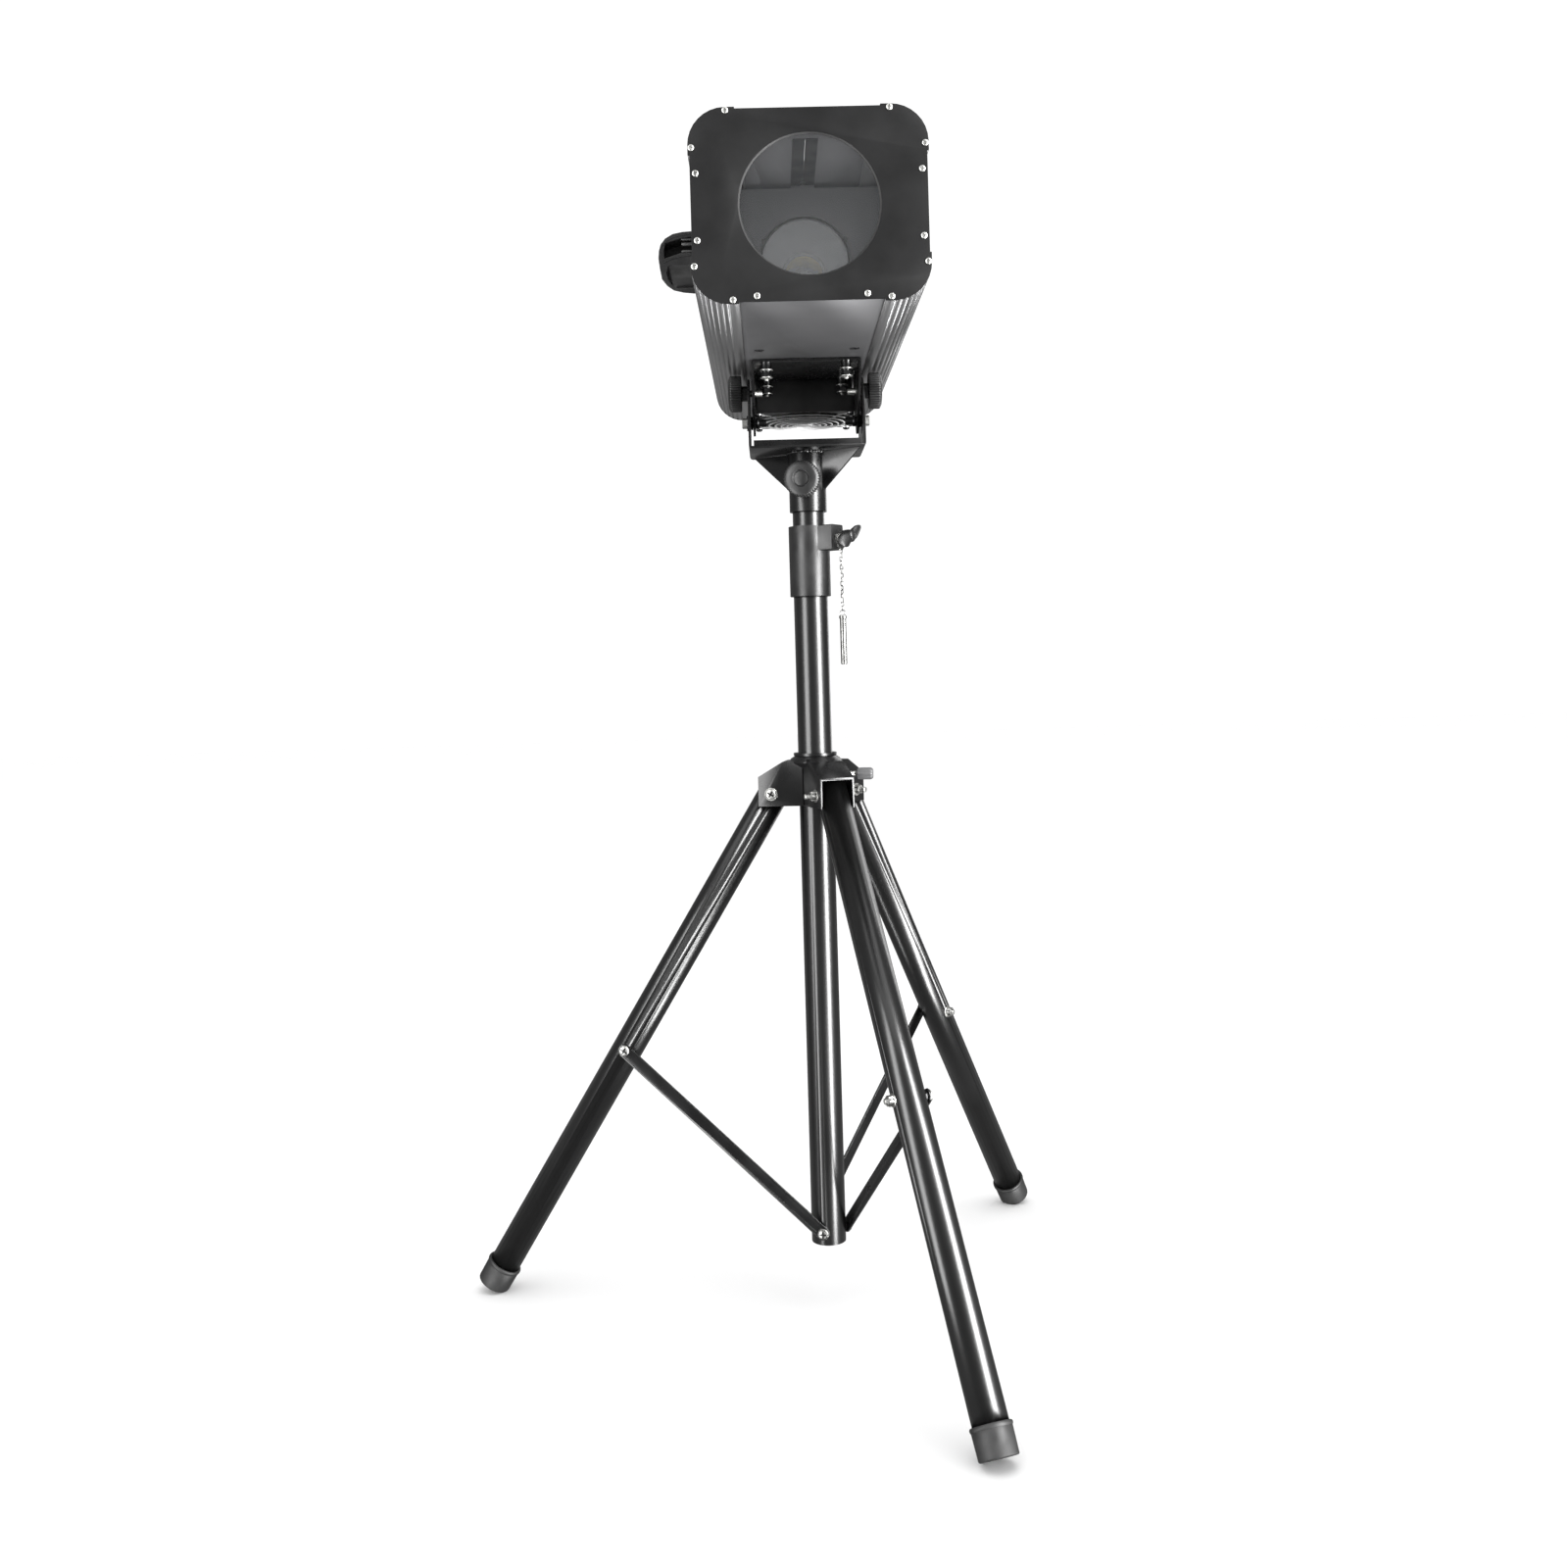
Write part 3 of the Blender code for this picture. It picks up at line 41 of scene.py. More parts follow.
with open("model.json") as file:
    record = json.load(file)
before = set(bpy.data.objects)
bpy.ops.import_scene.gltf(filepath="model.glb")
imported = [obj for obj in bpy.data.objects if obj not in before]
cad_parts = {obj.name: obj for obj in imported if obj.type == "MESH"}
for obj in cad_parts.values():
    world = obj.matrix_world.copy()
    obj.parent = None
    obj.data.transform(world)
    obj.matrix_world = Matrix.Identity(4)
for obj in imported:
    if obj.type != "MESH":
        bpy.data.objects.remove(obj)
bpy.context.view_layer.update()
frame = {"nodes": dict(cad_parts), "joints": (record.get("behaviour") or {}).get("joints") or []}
joints = {joint["name"]: joint for joint in frame["joints"]}

# The CAD's own measures, in millimetres where nothing else is said
LEGS = ("front", "rear", "left")
LEG_ANGLE = 31.6  # between an open leg and the vertical, in degrees
CHANNEL_HALF = 19.7  # half the width of the collar's channels
LEG_SIDE = 16.9  # half the width of a leg
BRACE_FACE = 22.1  # a brace's outer face, from the middle of its leg
BRACE_ON_LEG = 335.0  # from a leg's pivot down to its brace's bolt
FOOT_LIP = 629.0  # from a leg's pivot down to its rubber cap's mouth
YOKE_FACE = 64.05  # half the width of the yoke
WING_TURN = 24  # the wings' turn about their knob's axis, in degrees
BOTTOM_SCREW_X = 49.5
BOTTOM_SCREW_REACH = 127  # in front of the column's axis
SLOT_FRONT = -261.0  # the focus slot's ends, from the column's axis
SLOT_REAR = -98.0
GRIP_DROP = 13.2  # the grip's middle, below the lens's axis
GRIP_BACK = 6
GRIP_RISE = 0.245  # how far the grip's outline rises for each step to the rear
POCKET_DEPTH = 24
FAN_BLADES = 7

# The camera, from the column's axis, in metres and degrees
LENS = 35.593
CAMERA_FROM_COLUMN = (-0.0461, -1.7269)
CAMERA_HEIGHT = 0.7105
CAMERA_YAW = -1.057
CAMERA_ROLL = -1.633
CAMERA_SHIFT = (-0.01016, -0.07635)

# How strong the white room is, seen and lit by, and as reflections show it
ROOM_LIGHT = 1.12
ROOM_REFLECTION = 0.26


# Places


def point(joint):
    return Vector(joints[joint]["pos_m"])


def axis(joint):
    return Vector(joints[joint]["axis"]).normalized()


def line(origin, along, across=(0, 0, 1)):
    """A matrix whose Z runs along, and whose X is as near across as it can be."""
    z = Vector(along).normalized()
    x = Vector(across)
    if abs(x.normalized().dot(z)) > 0.99:
        x = Vector((1, 0, 0))
    x = (x - x.dot(z) * z).normalized()
    matrix = Matrix((x, z.cross(x), z)).transposed().to_4x4()
    matrix.translation = Vector(origin)
    return matrix


COLUMN = Vector((point("pan").x, point("pan").y, 0))
TILT = point("tilt")
# A weak light behind the front plate's lower edge, so that the inside of the head shows
INNER_GLOW = (COLUMN.x, COLUMN.y - 0.318, TILT.z + 0.0875)


# Shapes: vertices in millimetres, and faces


def placed(shape, matrix):
    """A shape drawn in millimetres, placed by a matrix in metres."""
    verts, faces = shape
    return [matrix @ (Vector(v) * MM) for v in verts], faces


def moved(shape, matrix):
    """A shape drawn in millimetres, moved in millimetres."""
    verts, faces = shape
    return [matrix @ Vector(v) for v in verts], faces


def lathe(profile, sides=48):
    """Turns (radius, height) points about Z, from the axis to the axis or round a closed loop."""
    return lofted([(r, r, z) for r, z in profile], sides)


def lofted(rings, sides, flutes=0):
    """Rings about Z, each (radius, flute's radius, height). Fluted rings swing between their two radii."""
    verts, rows = [], []
    for outer, inner, height in rings:
        if outer < 1e-6:
            rows.append([len(verts)])
            verts.append((0, 0, height))
            continue
        rows.append(list(range(len(verts), len(verts) + sides)))
        for i in range(sides):
            a = 2 * pi * i / sides
            share = (0.5 - 0.5 * cos(flutes * a)) ** 1.6 if flutes else 0
            r = outer + (inner - outer) * share
            verts.append((r * cos(a), r * sin(a), height))
    faces = []
    loop = len(rows[0]) > 1
    for k in range(len(rows) if loop else len(rows) - 1):
        one, two = rows[k], rows[(k + 1) % len(rows)]
        for i in range(sides):
            j = (i + 1) % sides
            if len(one) == 1:
                faces.append((one[0], two[i], two[j]))
            elif len(two) == 1:
                faces.append((one[i], two[0], one[j]))
            else:
                faces.append((one[i], two[i], two[j], one[j]))
    return verts, faces


def box(low, high):
    verts = [(x, y, z) for z in (low[2], high[2]) for y in (low[1], high[1]) for x in (low[0], high[0])]
    return verts, [(0, 2, 3, 1), (4, 5, 7, 6), (0, 1, 5, 4), (2, 6, 7, 3), (0, 4, 6, 2), (1, 3, 7, 5)]


def wire(points, radius, closed=False, sides=10):
    """A round wire along points in millimetres."""
    points = [Vector(p) for p in points]
    count = len(points)
    verts, faces = [], []
    normal = None
    for i, here in enumerate(points):
        before = points[i - 1] if closed or i else here
        after = points[(i + 1) % count] if closed or i + 1 < count else here
        tangent = (after - before).normalized()
        if normal is None:
            normal = tangent.orthogonal().normalized()
        normal = (normal - normal.dot(tangent) * tangent).normalized()
        other = tangent.cross(normal)
        for k in range(sides):
            a = 2 * pi * k / sides
            verts.append(here + (normal * cos(a) + other * sin(a)) * radius)
    for i in range(count if closed else count - 1):
        j = (i + 1) % count
        for k in range(sides):
            m = (k + 1) % sides
            faces.append((i * sides + k, i * sides + m, j * sides + m, j * sides + k))
    if not closed:
        faces.append(tuple(reversed(range(sides))))
        faces.append(tuple(range((count - 1) * sides, count * sides)))
    return verts, faces


def circle(radius, height=0.0, steps=72, start=0.0, end=360.0):
    full = abs(end - start) > 359.9
    count = steps if full else steps + 1
    turns = [radians(start + (end - start) * i / steps) for i in range(count)]
    return [(radius * cos(a), radius * sin(a), height) for a in turns]


def together(shapes):
    verts, faces = [], []
    for points, sides in shapes:
        faces += [tuple(i + len(verts) for i in side) for side in sides]
        verts += [Vector(p) for p in points]
    return verts, faces


def extruded(outline, low, high):
    """A flat outline, drawn in X and Y, made solid between two heights."""
    count = len(outline)
    verts = [(x, y, z) for z in (low, high) for x, y in outline]
    faces = [tuple(reversed(range(count))), tuple(range(count, 2 * count))]
    faces += [(i, (i + 1) % count, (i + 1) % count + count, i + count) for i in range(count)]
    return verts, faces


def outside(outline, depth, rise):
    """What lies outside an outline that rises steadily with its depth."""
    count = len(outline)
    middle = Vector((18, -8))
    verts = []
    for spread, z in ((1, -0.5), (1, depth), (3, depth), (3, -0.5)):
        for point_on_edge in outline:
            x, y = middle + (Vector(point_on_edge) - middle) * spread
            verts.append((x, y + rise * max(z, 0), z))
    faces = []
    for row in range(4):
        for i in range(count):
            j = (i + 1) % count
            near, far = row * count, (row + 1) % 4 * count
            faces.append((near + i, near + j, far + j, far + i))
    return verts, faces


def carved(shape, cutters):
    """A shape in millimetres with others cut from it."""
    helpers = []
    for part in (shape, *cutters):
        verts, faces = part
        mesh = bpy.data.meshes.new("helper")
        mesh.from_pydata([Vector(v) for v in verts], [], faces)
        solid = bmesh.new()
        solid.from_mesh(mesh)
        bmesh.ops.recalc_face_normals(solid, faces=solid.faces)
        solid.to_mesh(mesh)
        solid.free()
        obj = bpy.data.objects.new("helper", mesh)
        bpy.context.scene.collection.objects.link(obj)
        helpers.append(obj)
    for cutter in helpers[1:]:
        boolean = helpers[0].modifiers.new("Cut", "BOOLEAN")
        boolean.operation = "DIFFERENCE"
        boolean.object = cutter
    graph = bpy.context.evaluated_depsgraph_get()
    result = helpers[0].evaluated_get(graph).to_mesh()
    verts = [v.co.copy() for v in result.vertices]
    faces = [tuple(p.vertices) for p in result.polygons]
    helpers[0].evaluated_get(graph).to_mesh_clear()
    for obj in helpers:
        bpy.data.objects.remove(obj)
    return verts, faces


# Pieces


def piece(name, shape, body, material, angle=35, replaces=(), bevel=0.0):
    """A visible piece, from a shape that is already placed in metres."""
    verts, faces = shape
    mesh = bpy.data.meshes.new(name)
    mesh.from_pydata([Vector(v) for v in verts], [], faces)
    mesh.materials.append(material)
    mesh.shade_smooth()
    mesh.set_sharp_from_angle(angle=radians(angle))
    obj = bpy.data.objects.new(name, mesh)
    bpy.context.scene.collection.objects.link(obj)
    if bevel:
        edge = obj.modifiers.new("Edge", "BEVEL")
        edge.width = bevel * MM
        edge.segments = 2
        edge.limit_method = "ANGLE"
        edge.angle_limit = radians(angle)
    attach(obj, body)
    if replaces:
        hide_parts(*replaces)
    return obj


# Materials


class Surface:
    """Builds one procedural material: a Principled shader with noise in its colour, roughness and height."""

    def __init__(self, name, colour, roughness, metallic=0.0):
        self.material = bpy.data.materials.new(name)
        self.material.use_nodes = True
        self.nodes = self.material.node_tree.nodes
        self.links = self.material.node_tree.links
        self.shader = self.nodes["Principled BSDF"]
        self.colour, self.roughness = colour, roughness
        self.set("Base Color", (*colour, 1))
        self.set("Roughness", roughness)
        self.set("Metallic", metallic)
        self.where = self.nodes.new("ShaderNodeTexCoord").outputs["Object"]

    def set(self, socket, value):
        self.shader.inputs[socket].default_value = value
        return self

    def noise(self, scale, detail=3.0, stretch=(1, 1, 1)):
        """Noise in object space, with its scale per metre."""
        mapping = self.nodes.new("ShaderNodeMapping")
        mapping.inputs["Scale"].default_value = stretch
        self.links.new(self.where, mapping.inputs["Vector"])
        texture = self.nodes.new("ShaderNodeTexNoise")
        texture.inputs["Scale"].default_value = scale
        texture.inputs["Detail"].default_value = detail
        self.links.new(mapping.outputs["Vector"], texture.inputs["Vector"])
        return texture.outputs["Fac"]

    def between(self, source, low, high, start=0.35, end=0.65):
        ranged = self.nodes.new("ShaderNodeMapRange")
        ranged.inputs["From Min"].default_value = start
        ranged.inputs["From Max"].default_value = end
        ranged.inputs["To Min"].default_value = low
        ranged.inputs["To Max"].default_value = high
        self.links.new(source, ranged.inputs["Value"])
        return ranged.outputs["Result"]

    def mottle(self, scale, amount, stretch=(1, 1, 1)):
        """The colour varies by this share of itself."""
        mix = self.nodes.new("ShaderNodeMix")
        mix.data_type = "RGBA"
        mix.inputs["A"].default_value = (*[c * (1 - amount) for c in self.colour], 1)
        mix.inputs["B"].default_value = (*[min(c * (1 + amount), 1) for c in self.colour], 1)
        self.links.new(self.between(self.noise(scale, 4, stretch), 0, 1), mix.inputs["Factor"])
        self.links.new(mix.outputs["Result"], self.shader.inputs["Base Color"])
        return self

    def wear(self, scale, amount, stretch=(1, 1, 1)):
        """The roughness varies by this much either way."""
        low, high = self.roughness - amount, self.roughness + amount
        varied = self.between(self.noise(scale, 5, stretch), low, high)
        self.links.new(varied, self.shader.inputs["Roughness"])
        return self

    def grain(self, scale, height, stretch=(1, 1, 1), detail=2.0):
        """Relief of this height, in millimetres."""
        bump = self.nodes.new("ShaderNodeBump")
        bump.inputs["Strength"].default_value = 1.0
        bump.inputs["Distance"].default_value = height * MM
        self.links.new(self.noise(scale, detail, stretch), bump.inputs["Height"])
        self.links.new(bump.outputs["Normal"], self.shader.inputs["Normal"])
        return self

    def done(self):
        return self.material


ALONG_LAMP = (1, 0.03, 1)  # stretches a pattern along the lamp's length

gloss_black = Surface("gloss_black", (0.003, 0.003, 0.0032), 0.3).mottle(60, 0.2).wear(9, 0.02)
gloss_black = gloss_black.grain(1500, 0.001).set("Coat Weight", 0.3).set("Coat Roughness", 0.2).done()
coat_black = Surface("coat_black", (0.006, 0.006, 0.0063), 0.28).mottle(45, 0.3)
coat_black = coat_black.wear(22, 0.05).grain(900, 0.004).done()
cast_black = Surface("cast_black", (0.014, 0.014, 0.0145), 0.42).mottle(40, 0.25)
cast_black = cast_black.wear(30, 0.08).grain(1500, 0.03).done()
plate_black = Surface("plate_black", (0.019, 0.019, 0.0195), 0.5).mottle(30, 0.15).wear(18, 0.06)
plate_black = plate_black.grain(2600, 0.02).set("Specular IOR Level", 0.12).done()
anodised = Surface("anodised", (0.26, 0.26, 0.263), 0.36, 0.85).mottle(24, 0.1, ALONG_LAMP)
anodised = anodised.wear(160, 0.06, ALONG_LAMP).grain(1400, 0.01, ALONG_LAMP).done()
sheet_grey = Surface("sheet_grey", (0.13, 0.13, 0.134), 0.5, 0.5).mottle(12, 0.06).wear(10, 0.02)
sheet_grey = sheet_grey.grain(2200, 0.003).done()
inner_grey = Surface("inner_grey", (0.07, 0.07, 0.072), 0.45, 0.3).mottle(20, 0.08).wear(8, 0.03).done()
nylon = Surface("nylon", (0.009, 0.009, 0.0094), 0.4).mottle(80, 0.25).wear(60, 0.07).grain(2400, 0.03).done()
handle_black = Surface("handle_black", (0.022, 0.022, 0.0225), 0.36).mottle(60, 0.2)
handle_black = handle_black.wear(40, 0.08).grain(1800, 0.02).done()
grey_nylon = Surface("grey_nylon", (0.2, 0.2, 0.205), 0.42).mottle(80, 0.12)
grey_nylon = grey_nylon.wear(60, 0.06).grain(2000, 0.02).done()
zinc = Surface("zinc", (0.42, 0.42, 0.405), 0.4, 1.0).mottle(160, 0.15)
zinc = zinc.wear(240, 0.08).grain(1600, 0.01).done()
black_steel = Surface("black_steel", (0.02, 0.02, 0.021), 0.3, 0.4).mottle(100, 0.2)
black_steel = black_steel.wear(120, 0.07).grain(900, 0.01).done()
aluminium = Surface("aluminium", (0.62, 0.62, 0.63), 0.3, 1.0).mottle(40, 0.08)
aluminium = aluminium.wear(90, 0.07).grain(900, 0.01).done()
chain_steel = Surface("chain_steel", (0.2, 0.2, 0.195), 0.28, 1.0).mottle(160, 0.2).wear(240, 0.08).done()
chrome = Surface("chrome", (0.9, 0.9, 0.9), 0.5, 1.0).mottle(60, 0.04).wear(60, 0.05).done()
mirror = Surface("mirror", (0.85, 0.85, 0.86), 0.08, 1.0).mottle(30, 0.03).wear(40, 0.03).done()
rubber = Surface("rubber", (0.014, 0.014, 0.0142), 0.58).mottle(90, 0.3)
rubber = rubber.wear(50, 0.1).grain(1300, 0.05).done()
phosphor = Surface("phosphor", (0.8, 0.62, 0.16), 0.6).mottle(400, 0.15).grain(3000, 0.02).done()
screen = Surface("screen", (0.004, 0.006, 0.012), 0.12).mottle(30, 0.2).wear(20, 0.04).done()
lit = Surface("lit_digit", (0.25, 0.02, 0.01), 0.4).mottle(300, 0.1)
lit = lit.set("Emission Color", (1, 0.12, 0.04, 1)).set("Emission Strength", 1.2).done()
brass = Surface("brass", (0.8, 0.55, 0.2), 0.25, 1.0).mottle(200, 0.1).wear(200, 0.06).done()


# The grey base colour, seen faintly through the glass's high transparency, is a painted veil: it stands in
# for the lens's reflection of the bright room.
def glass_surface(name, colour, alpha):
    surface = Surface(name, colour, 0.04).mottle(6, 0.04).set("Alpha", alpha)
    return surface.set("IOR", 1.5).set("Specular IOR Level", 0.1).done()


# Both lenses carry a painted veil of reflection in their grey base colour; the inner lens's veil is lighter.
front_glass = glass_surface("front_glass", (0.3, 0.31, 0.32), 0.07)
inner_glass = glass_surface("inner_glass", (0.55, 0.56, 0.57), 0.1)

CAD_LOOKS = {
    gloss_black: ("column_tube", "pole", "front_leg", "rear_leg", "left_leg"),
    coat_black: (
        "leg_collar", "front_brace", "rear_brace", "left_brace", "pan_socket", "yoke", "tilt_bracket",
    ),
    cast_black: ("clamp_sleeve",),
    plate_black: ("front_plate", "rear_panel"),
    anodised: ("rail_top_left", "rail_top_right", "rail_bottom_left", "rail_bottom_right"),
    sheet_grey: ("top_panel", "bottom_panel", "left_panel", "right_panel"),
    inner_grey: ("iris_plate", "focus_carriage"),
    nylon: (
        "wing_knob", "tilt_knob_left", "tilt_knob_right", "pan_knob", "focus_knob", "iris_lever", "fan_frame",
        "fan_rotor", "switch_housing", "power_switch", "power_inlet",
    ),
    handle_black: ("side_handle",),
    grey_nylon: ("collar_knob", "button_1", "button_2", "button_3", "button_4"),
    zinc: ("hitch_ring", "pin_chain", "locking_pin", "fan_guard", "signal_in", "signal_out"),
    black_steel: ("pivot_bolt_left", "pivot_bolt_right"),
    aluminium: ("guide_rail", "heatsink", "power_supply"),
    mirror: ("lamp_reflector",),
    front_glass: ("front_lens",),
    inner_glass: ("focus_lens",),
    rubber: ("front_foot", "rear_foot", "left_foot"),
    screen: ("display",),
}

# The CAD nodes whose edges get each radius, in millimetres
EDGES = {
    0.3: (
        "column_tube", "pole", "front_plate", "rear_panel", "focus_carriage", "power_inlet", "switch_housing",
    ),
    0.4: (
        "front_brace", "rear_brace", "left_brace", "power_switch", "signal_in", "signal_out", "button_1",
        "button_2", "button_3", "button_4",
    ),
    0.5: ("yoke", "tilt_bracket", "pan_socket", "iris_lever"),
    0.6: ("clamp_sleeve", "fan_frame"),
    0.7: ("leg_collar",),
    1.0: ("front_foot", "rear_foot", "left_foot"),
    1.2: ("side_handle",),
}
EDGE_ANGLE = 38


def finish_cad_nodes():
    """Gives every CAD node its material, smooth shading and, where EDGES names it, rounded edges."""
    radii = {name: radius for radius, names in EDGES.items() for name in names}
    for material, names in CAD_LOOKS.items():
        for name in names:
            node = frame["nodes"][name]
            node.data.materials.clear()
            node.data.materials.append(material)
            weld = node.modifiers.new("Weld", "WELD")
            weld.merge_threshold = 1e-6
            if name in radii:
                edge = node.modifiers.new("Edge", "BEVEL")
                edge.width = radii[name] * MM
                edge.segments = 2
                edge.limit_method = "ANGLE"
                edge.angle_limit = radians(EDGE_ANGLE)
            node.data.shade_smooth()
            node.data.set_sharp_from_angle(angle=radians(EDGE_ANGLE))


# Fasteners, drawn with the face that they sit on at height zero


def crosshead(radius, height):
    """A pan head with a cross recess."""
    top = [(radius * cos(a), height * (0.35 + 0.65 * sin(a))) for a in (radians(18 * i) for i in range(6))]
    dome = lathe([(0, -0.4), (radius, -0.4), *top[:-1], (0, height)], 32)
    slot = radius * 0.66
    width = radius * 0.17
    arms = [box((-slot, -width, height * 0.35), (slot, width, height + 1)),
            box((-width, -slot, height * 0.35), (width, slot, height + 1)),
            lathe([(0, height * 0.2), (radius * 0.3, height + 0.5), (0, height + 0.5)], 12)]
    return carved(dome, arms)


def hexagon(across, height):
    r = across / 3**0.5
    chamfer = 0.9
    return lathe([(0, 0), (r * 0.94, 0), (r, 0.3), (r, height - chamfer), (r * 0.88, height), (0, height)], 6)


def washer(outer, inner, thick):
    return lathe([(outer, 0), (outer, thick * 0.8), (outer - 0.2, thick), (inner, thick), (inner, 0)], 40)


def threaded(radius, low, high, pitch=1.0):
    """A threaded stud's end, as rings."""
    profile = [(0, low)]
    height = low
    while height < high - pitch:
        profile += [(radius - 0.35, height), (radius, height + pitch / 2)]
        height += pitch
    profile += [(radius - 0.35, height), (radius - 0.8, high), (0, high)]
    return lathe(profile, 24)


def lifted(shape, height):
    return moved(shape, Matrix.Translation((0, 0, height)))


HEAD_SCREW = crosshead(3.0, 1.6)
SMALL_SCREW = crosshead(2.3, 1.3)
LEG_BOLT = crosshead(6.0, 3.0)


# The lamp's casing


def build_front():
    low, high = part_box("front_plate")
    middle = (low + high) / 2
    face = Vector((middle.x, low.y, middle.z))
    half_w, half_h = (high.x - low.x) / 2, (high.z - low.z) / 2
    spots = []
    for side in (-1, 1):
        # From the side edge and the top edge, then from the side edge and the bottom edge
        upper = ((34.5, 3.2), (3.2, 36), (6.5, 59))
        lower = ((6.5, 57), (3.2, 34), (37, 3.4))
        spots += [(side * (half_w - x * MM), half_h - z * MM) for x, z in upper]
        spots += [(side * (half_w - x * MM), -half_h + z * MM) for x, z in lower]
        spots.append((side * BOTTOM_SCREW_X * MM, -half_h + 6.5 * MM))
    heads = []
    for i, (x, z) in enumerate(spots):
        turn = Matrix.Rotation(radians(25 + 47 * i), 4, "Z")
        heads.append(placed(moved(HEAD_SCREW, turn), line(face + Vector((x, 0, z)), (0, -1, 0))))
    piece("front_plate_screws", together(heads), "head", zinc)

    # The black ring that clamps the front lens, seen as a thin edge inside the hole.
    at_face = line(face, (0, 1, 0))
    ring = lathe([(64.3, 0.4), (64.3, 2.6), (62.9, 2.6), (62.9, 1.9)], 96)
    piece("lens_gasket", placed(ring, at_face), "head", rubber)
    at_lens = line((middle.x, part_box("front_lens")[0].y, middle.z), (0, 1, 0))
    bulge = [(67.5 * cos(a), 3.2 + 6.6 * sin(a)) for a in (radians(7.5 * i) for i in range(12))]
    glass = placed(lathe([(0, 0.3), (67.5, 0.3), *bulge, (0, 9.8)], 96), at_lens)
    piece("front_lens_glass", glass, "head", front_glass, replaces=["front_lens"])

    low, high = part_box("bottom_panel")
    screws = [lifted(moved(SMALL_SCREW, Matrix.Rotation(radians(30 * i), 4, "Z")), -0.6) for i in (1, 2)]
    y = COLUMN.y - BOTTOM_SCREW_REACH * MM
    spots = [Vector((middle.x + x * MM, y, low.z)) for x in (-BOTTOM_SCREW_X, BOTTOM_SCREW_X)]
    shapes = [placed(screw, line(spot, (0, 0, -1))) for screw, spot in zip(screws, spots)]
    dimple = lathe([(5.4, 0), (5.0, 0.5), (3.4, 0.5), (3.0, 0)], 32)
    shapes += [placed(dimple, line(spot, (0, 0, -1))) for spot in spots]
    piece("bottom_panel_screws", together(shapes), "head", black_steel)


def build_grip():
    """The moulded side grip, with bosses in its upper pocket and fine raised lines on its front."""
    low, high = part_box("side_handle")
    level = point("iris").z - GRIP_DROP * MM
    # At its front, x runs out from the panel, y up and z towards the rear.
    at_front = line((high.x, low.y, level), (0, 1, 0), (-1, 0, 0))
    depth = (high.y - low.y) / MM
    outline = [(0, 22.4), (6.1, 22.1), (13.3, 21.7), (22.7, 19.9), (30, 15.7), (34.5, 10), (36.4, 3.6)]
    outline += [(37, -3.6), (35.8, -13.7), (34, -23.9), (29.1, -30.4), (22.8, -34.9), (13.5, -37.2)]
    outline += [(3.5, -38.3), (0, -38.4)]
    hollow = [(3.5, -10.3), (23.5, -10), (27.5, -11.4), (29.3, -17.5), (27.9, -24), (24.8, -28.7)]
    hollow += [(21.3, -32.4), (3.5, -32.7)]
    pocket = [(2.5, 17.6), (15.3, 15.1), (30.1, 11), (31.4, 3.5), (31.2, -3.7), (15.5, 1.2), (2.5, 1.2)]
    cuts = [extruded(hollow, -1, depth - GRIP_BACK), extruded(pocket, -1, POCKET_DEPTH)]
    # The cutter's inner side stands clear of the panel, which the grip rests against.
    clear = [(x if x else -3, y) for x, y in outline]
    cuts.append(outside(clear, depth + 1, GRIP_RISE))
    body = carved(extruded(outline, 0, depth), cuts)
    grip = piece("side_grip", placed(body, at_front), "head", handle_black, 30,
                 replaces=["side_handle"], bevel=1.1)
    grip.modifiers["Edge"].segments = 3
    bosses = []
    for top, bottom in ((16.9, 13.6), (12.2, 8.6), (5.0, 1.7)):
        half = (top - bottom) / 2
        boss = lathe([(0, 0), (half, 0), (half, 13.4), (half * 0.7, 14.4), (0, 14.7)], 24)
        across = Matrix.Translation((0, (top + bottom) / 2, 3.2)) @ Matrix.Rotation(radians(90), 4, "Y")
        bosses.append(moved(boss, across))
    piece("grip_bosses", placed(together(bosses), at_front), "head", handle_black)
    ridge = wire([(32.6, -8.2, 0.1), (28.5, -6.3, 0), (23, -3.9, 0), (14.5, -2.2, 0), (6, -1.0, 0.1)], 0.6)
    edge = [(33.2, 7.6, 0.1), (30.6, 11.4, 0), (27.2, 14.2, 0), (22.5, 16.4, 0), (17, 18.0, 0)]
    rim = wire([*edge, (6.2, 19.4, 0.1)], 0.5)
    piece("grip_lines", placed(together([ridge, rim]), at_front), "head", handle_black)


def build_panel_screws():
    """Small screws that hold the long panels to the corner rails, on the top and the two sides."""
    low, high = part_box("left_panel")
    heights = (low.z + 5 * MM, high.z - 5 * MM)
    lengths = [low.y + (high.y - low.y) * share for share in (0.04, 0.35, 0.66, 0.96)]
    shapes = []
    for y in lengths:
        for z in heights:
            shapes.append(placed(SMALL_SCREW, line((low.x, y, z), (-1, 0, 0))))
            shapes.append(placed(SMALL_SCREW, line((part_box("right_panel")[1].x, y, z), (1, 0, 0))))
    low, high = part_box("top_panel")
    for y in lengths:
        for x in (low.x + 5 * MM, high.x - 5 * MM):
            shapes.append(placed(SMALL_SCREW, line((x, y, high.z), (0, 0, 1))))
    piece("panel_screws", together(shapes), "head", black_steel)


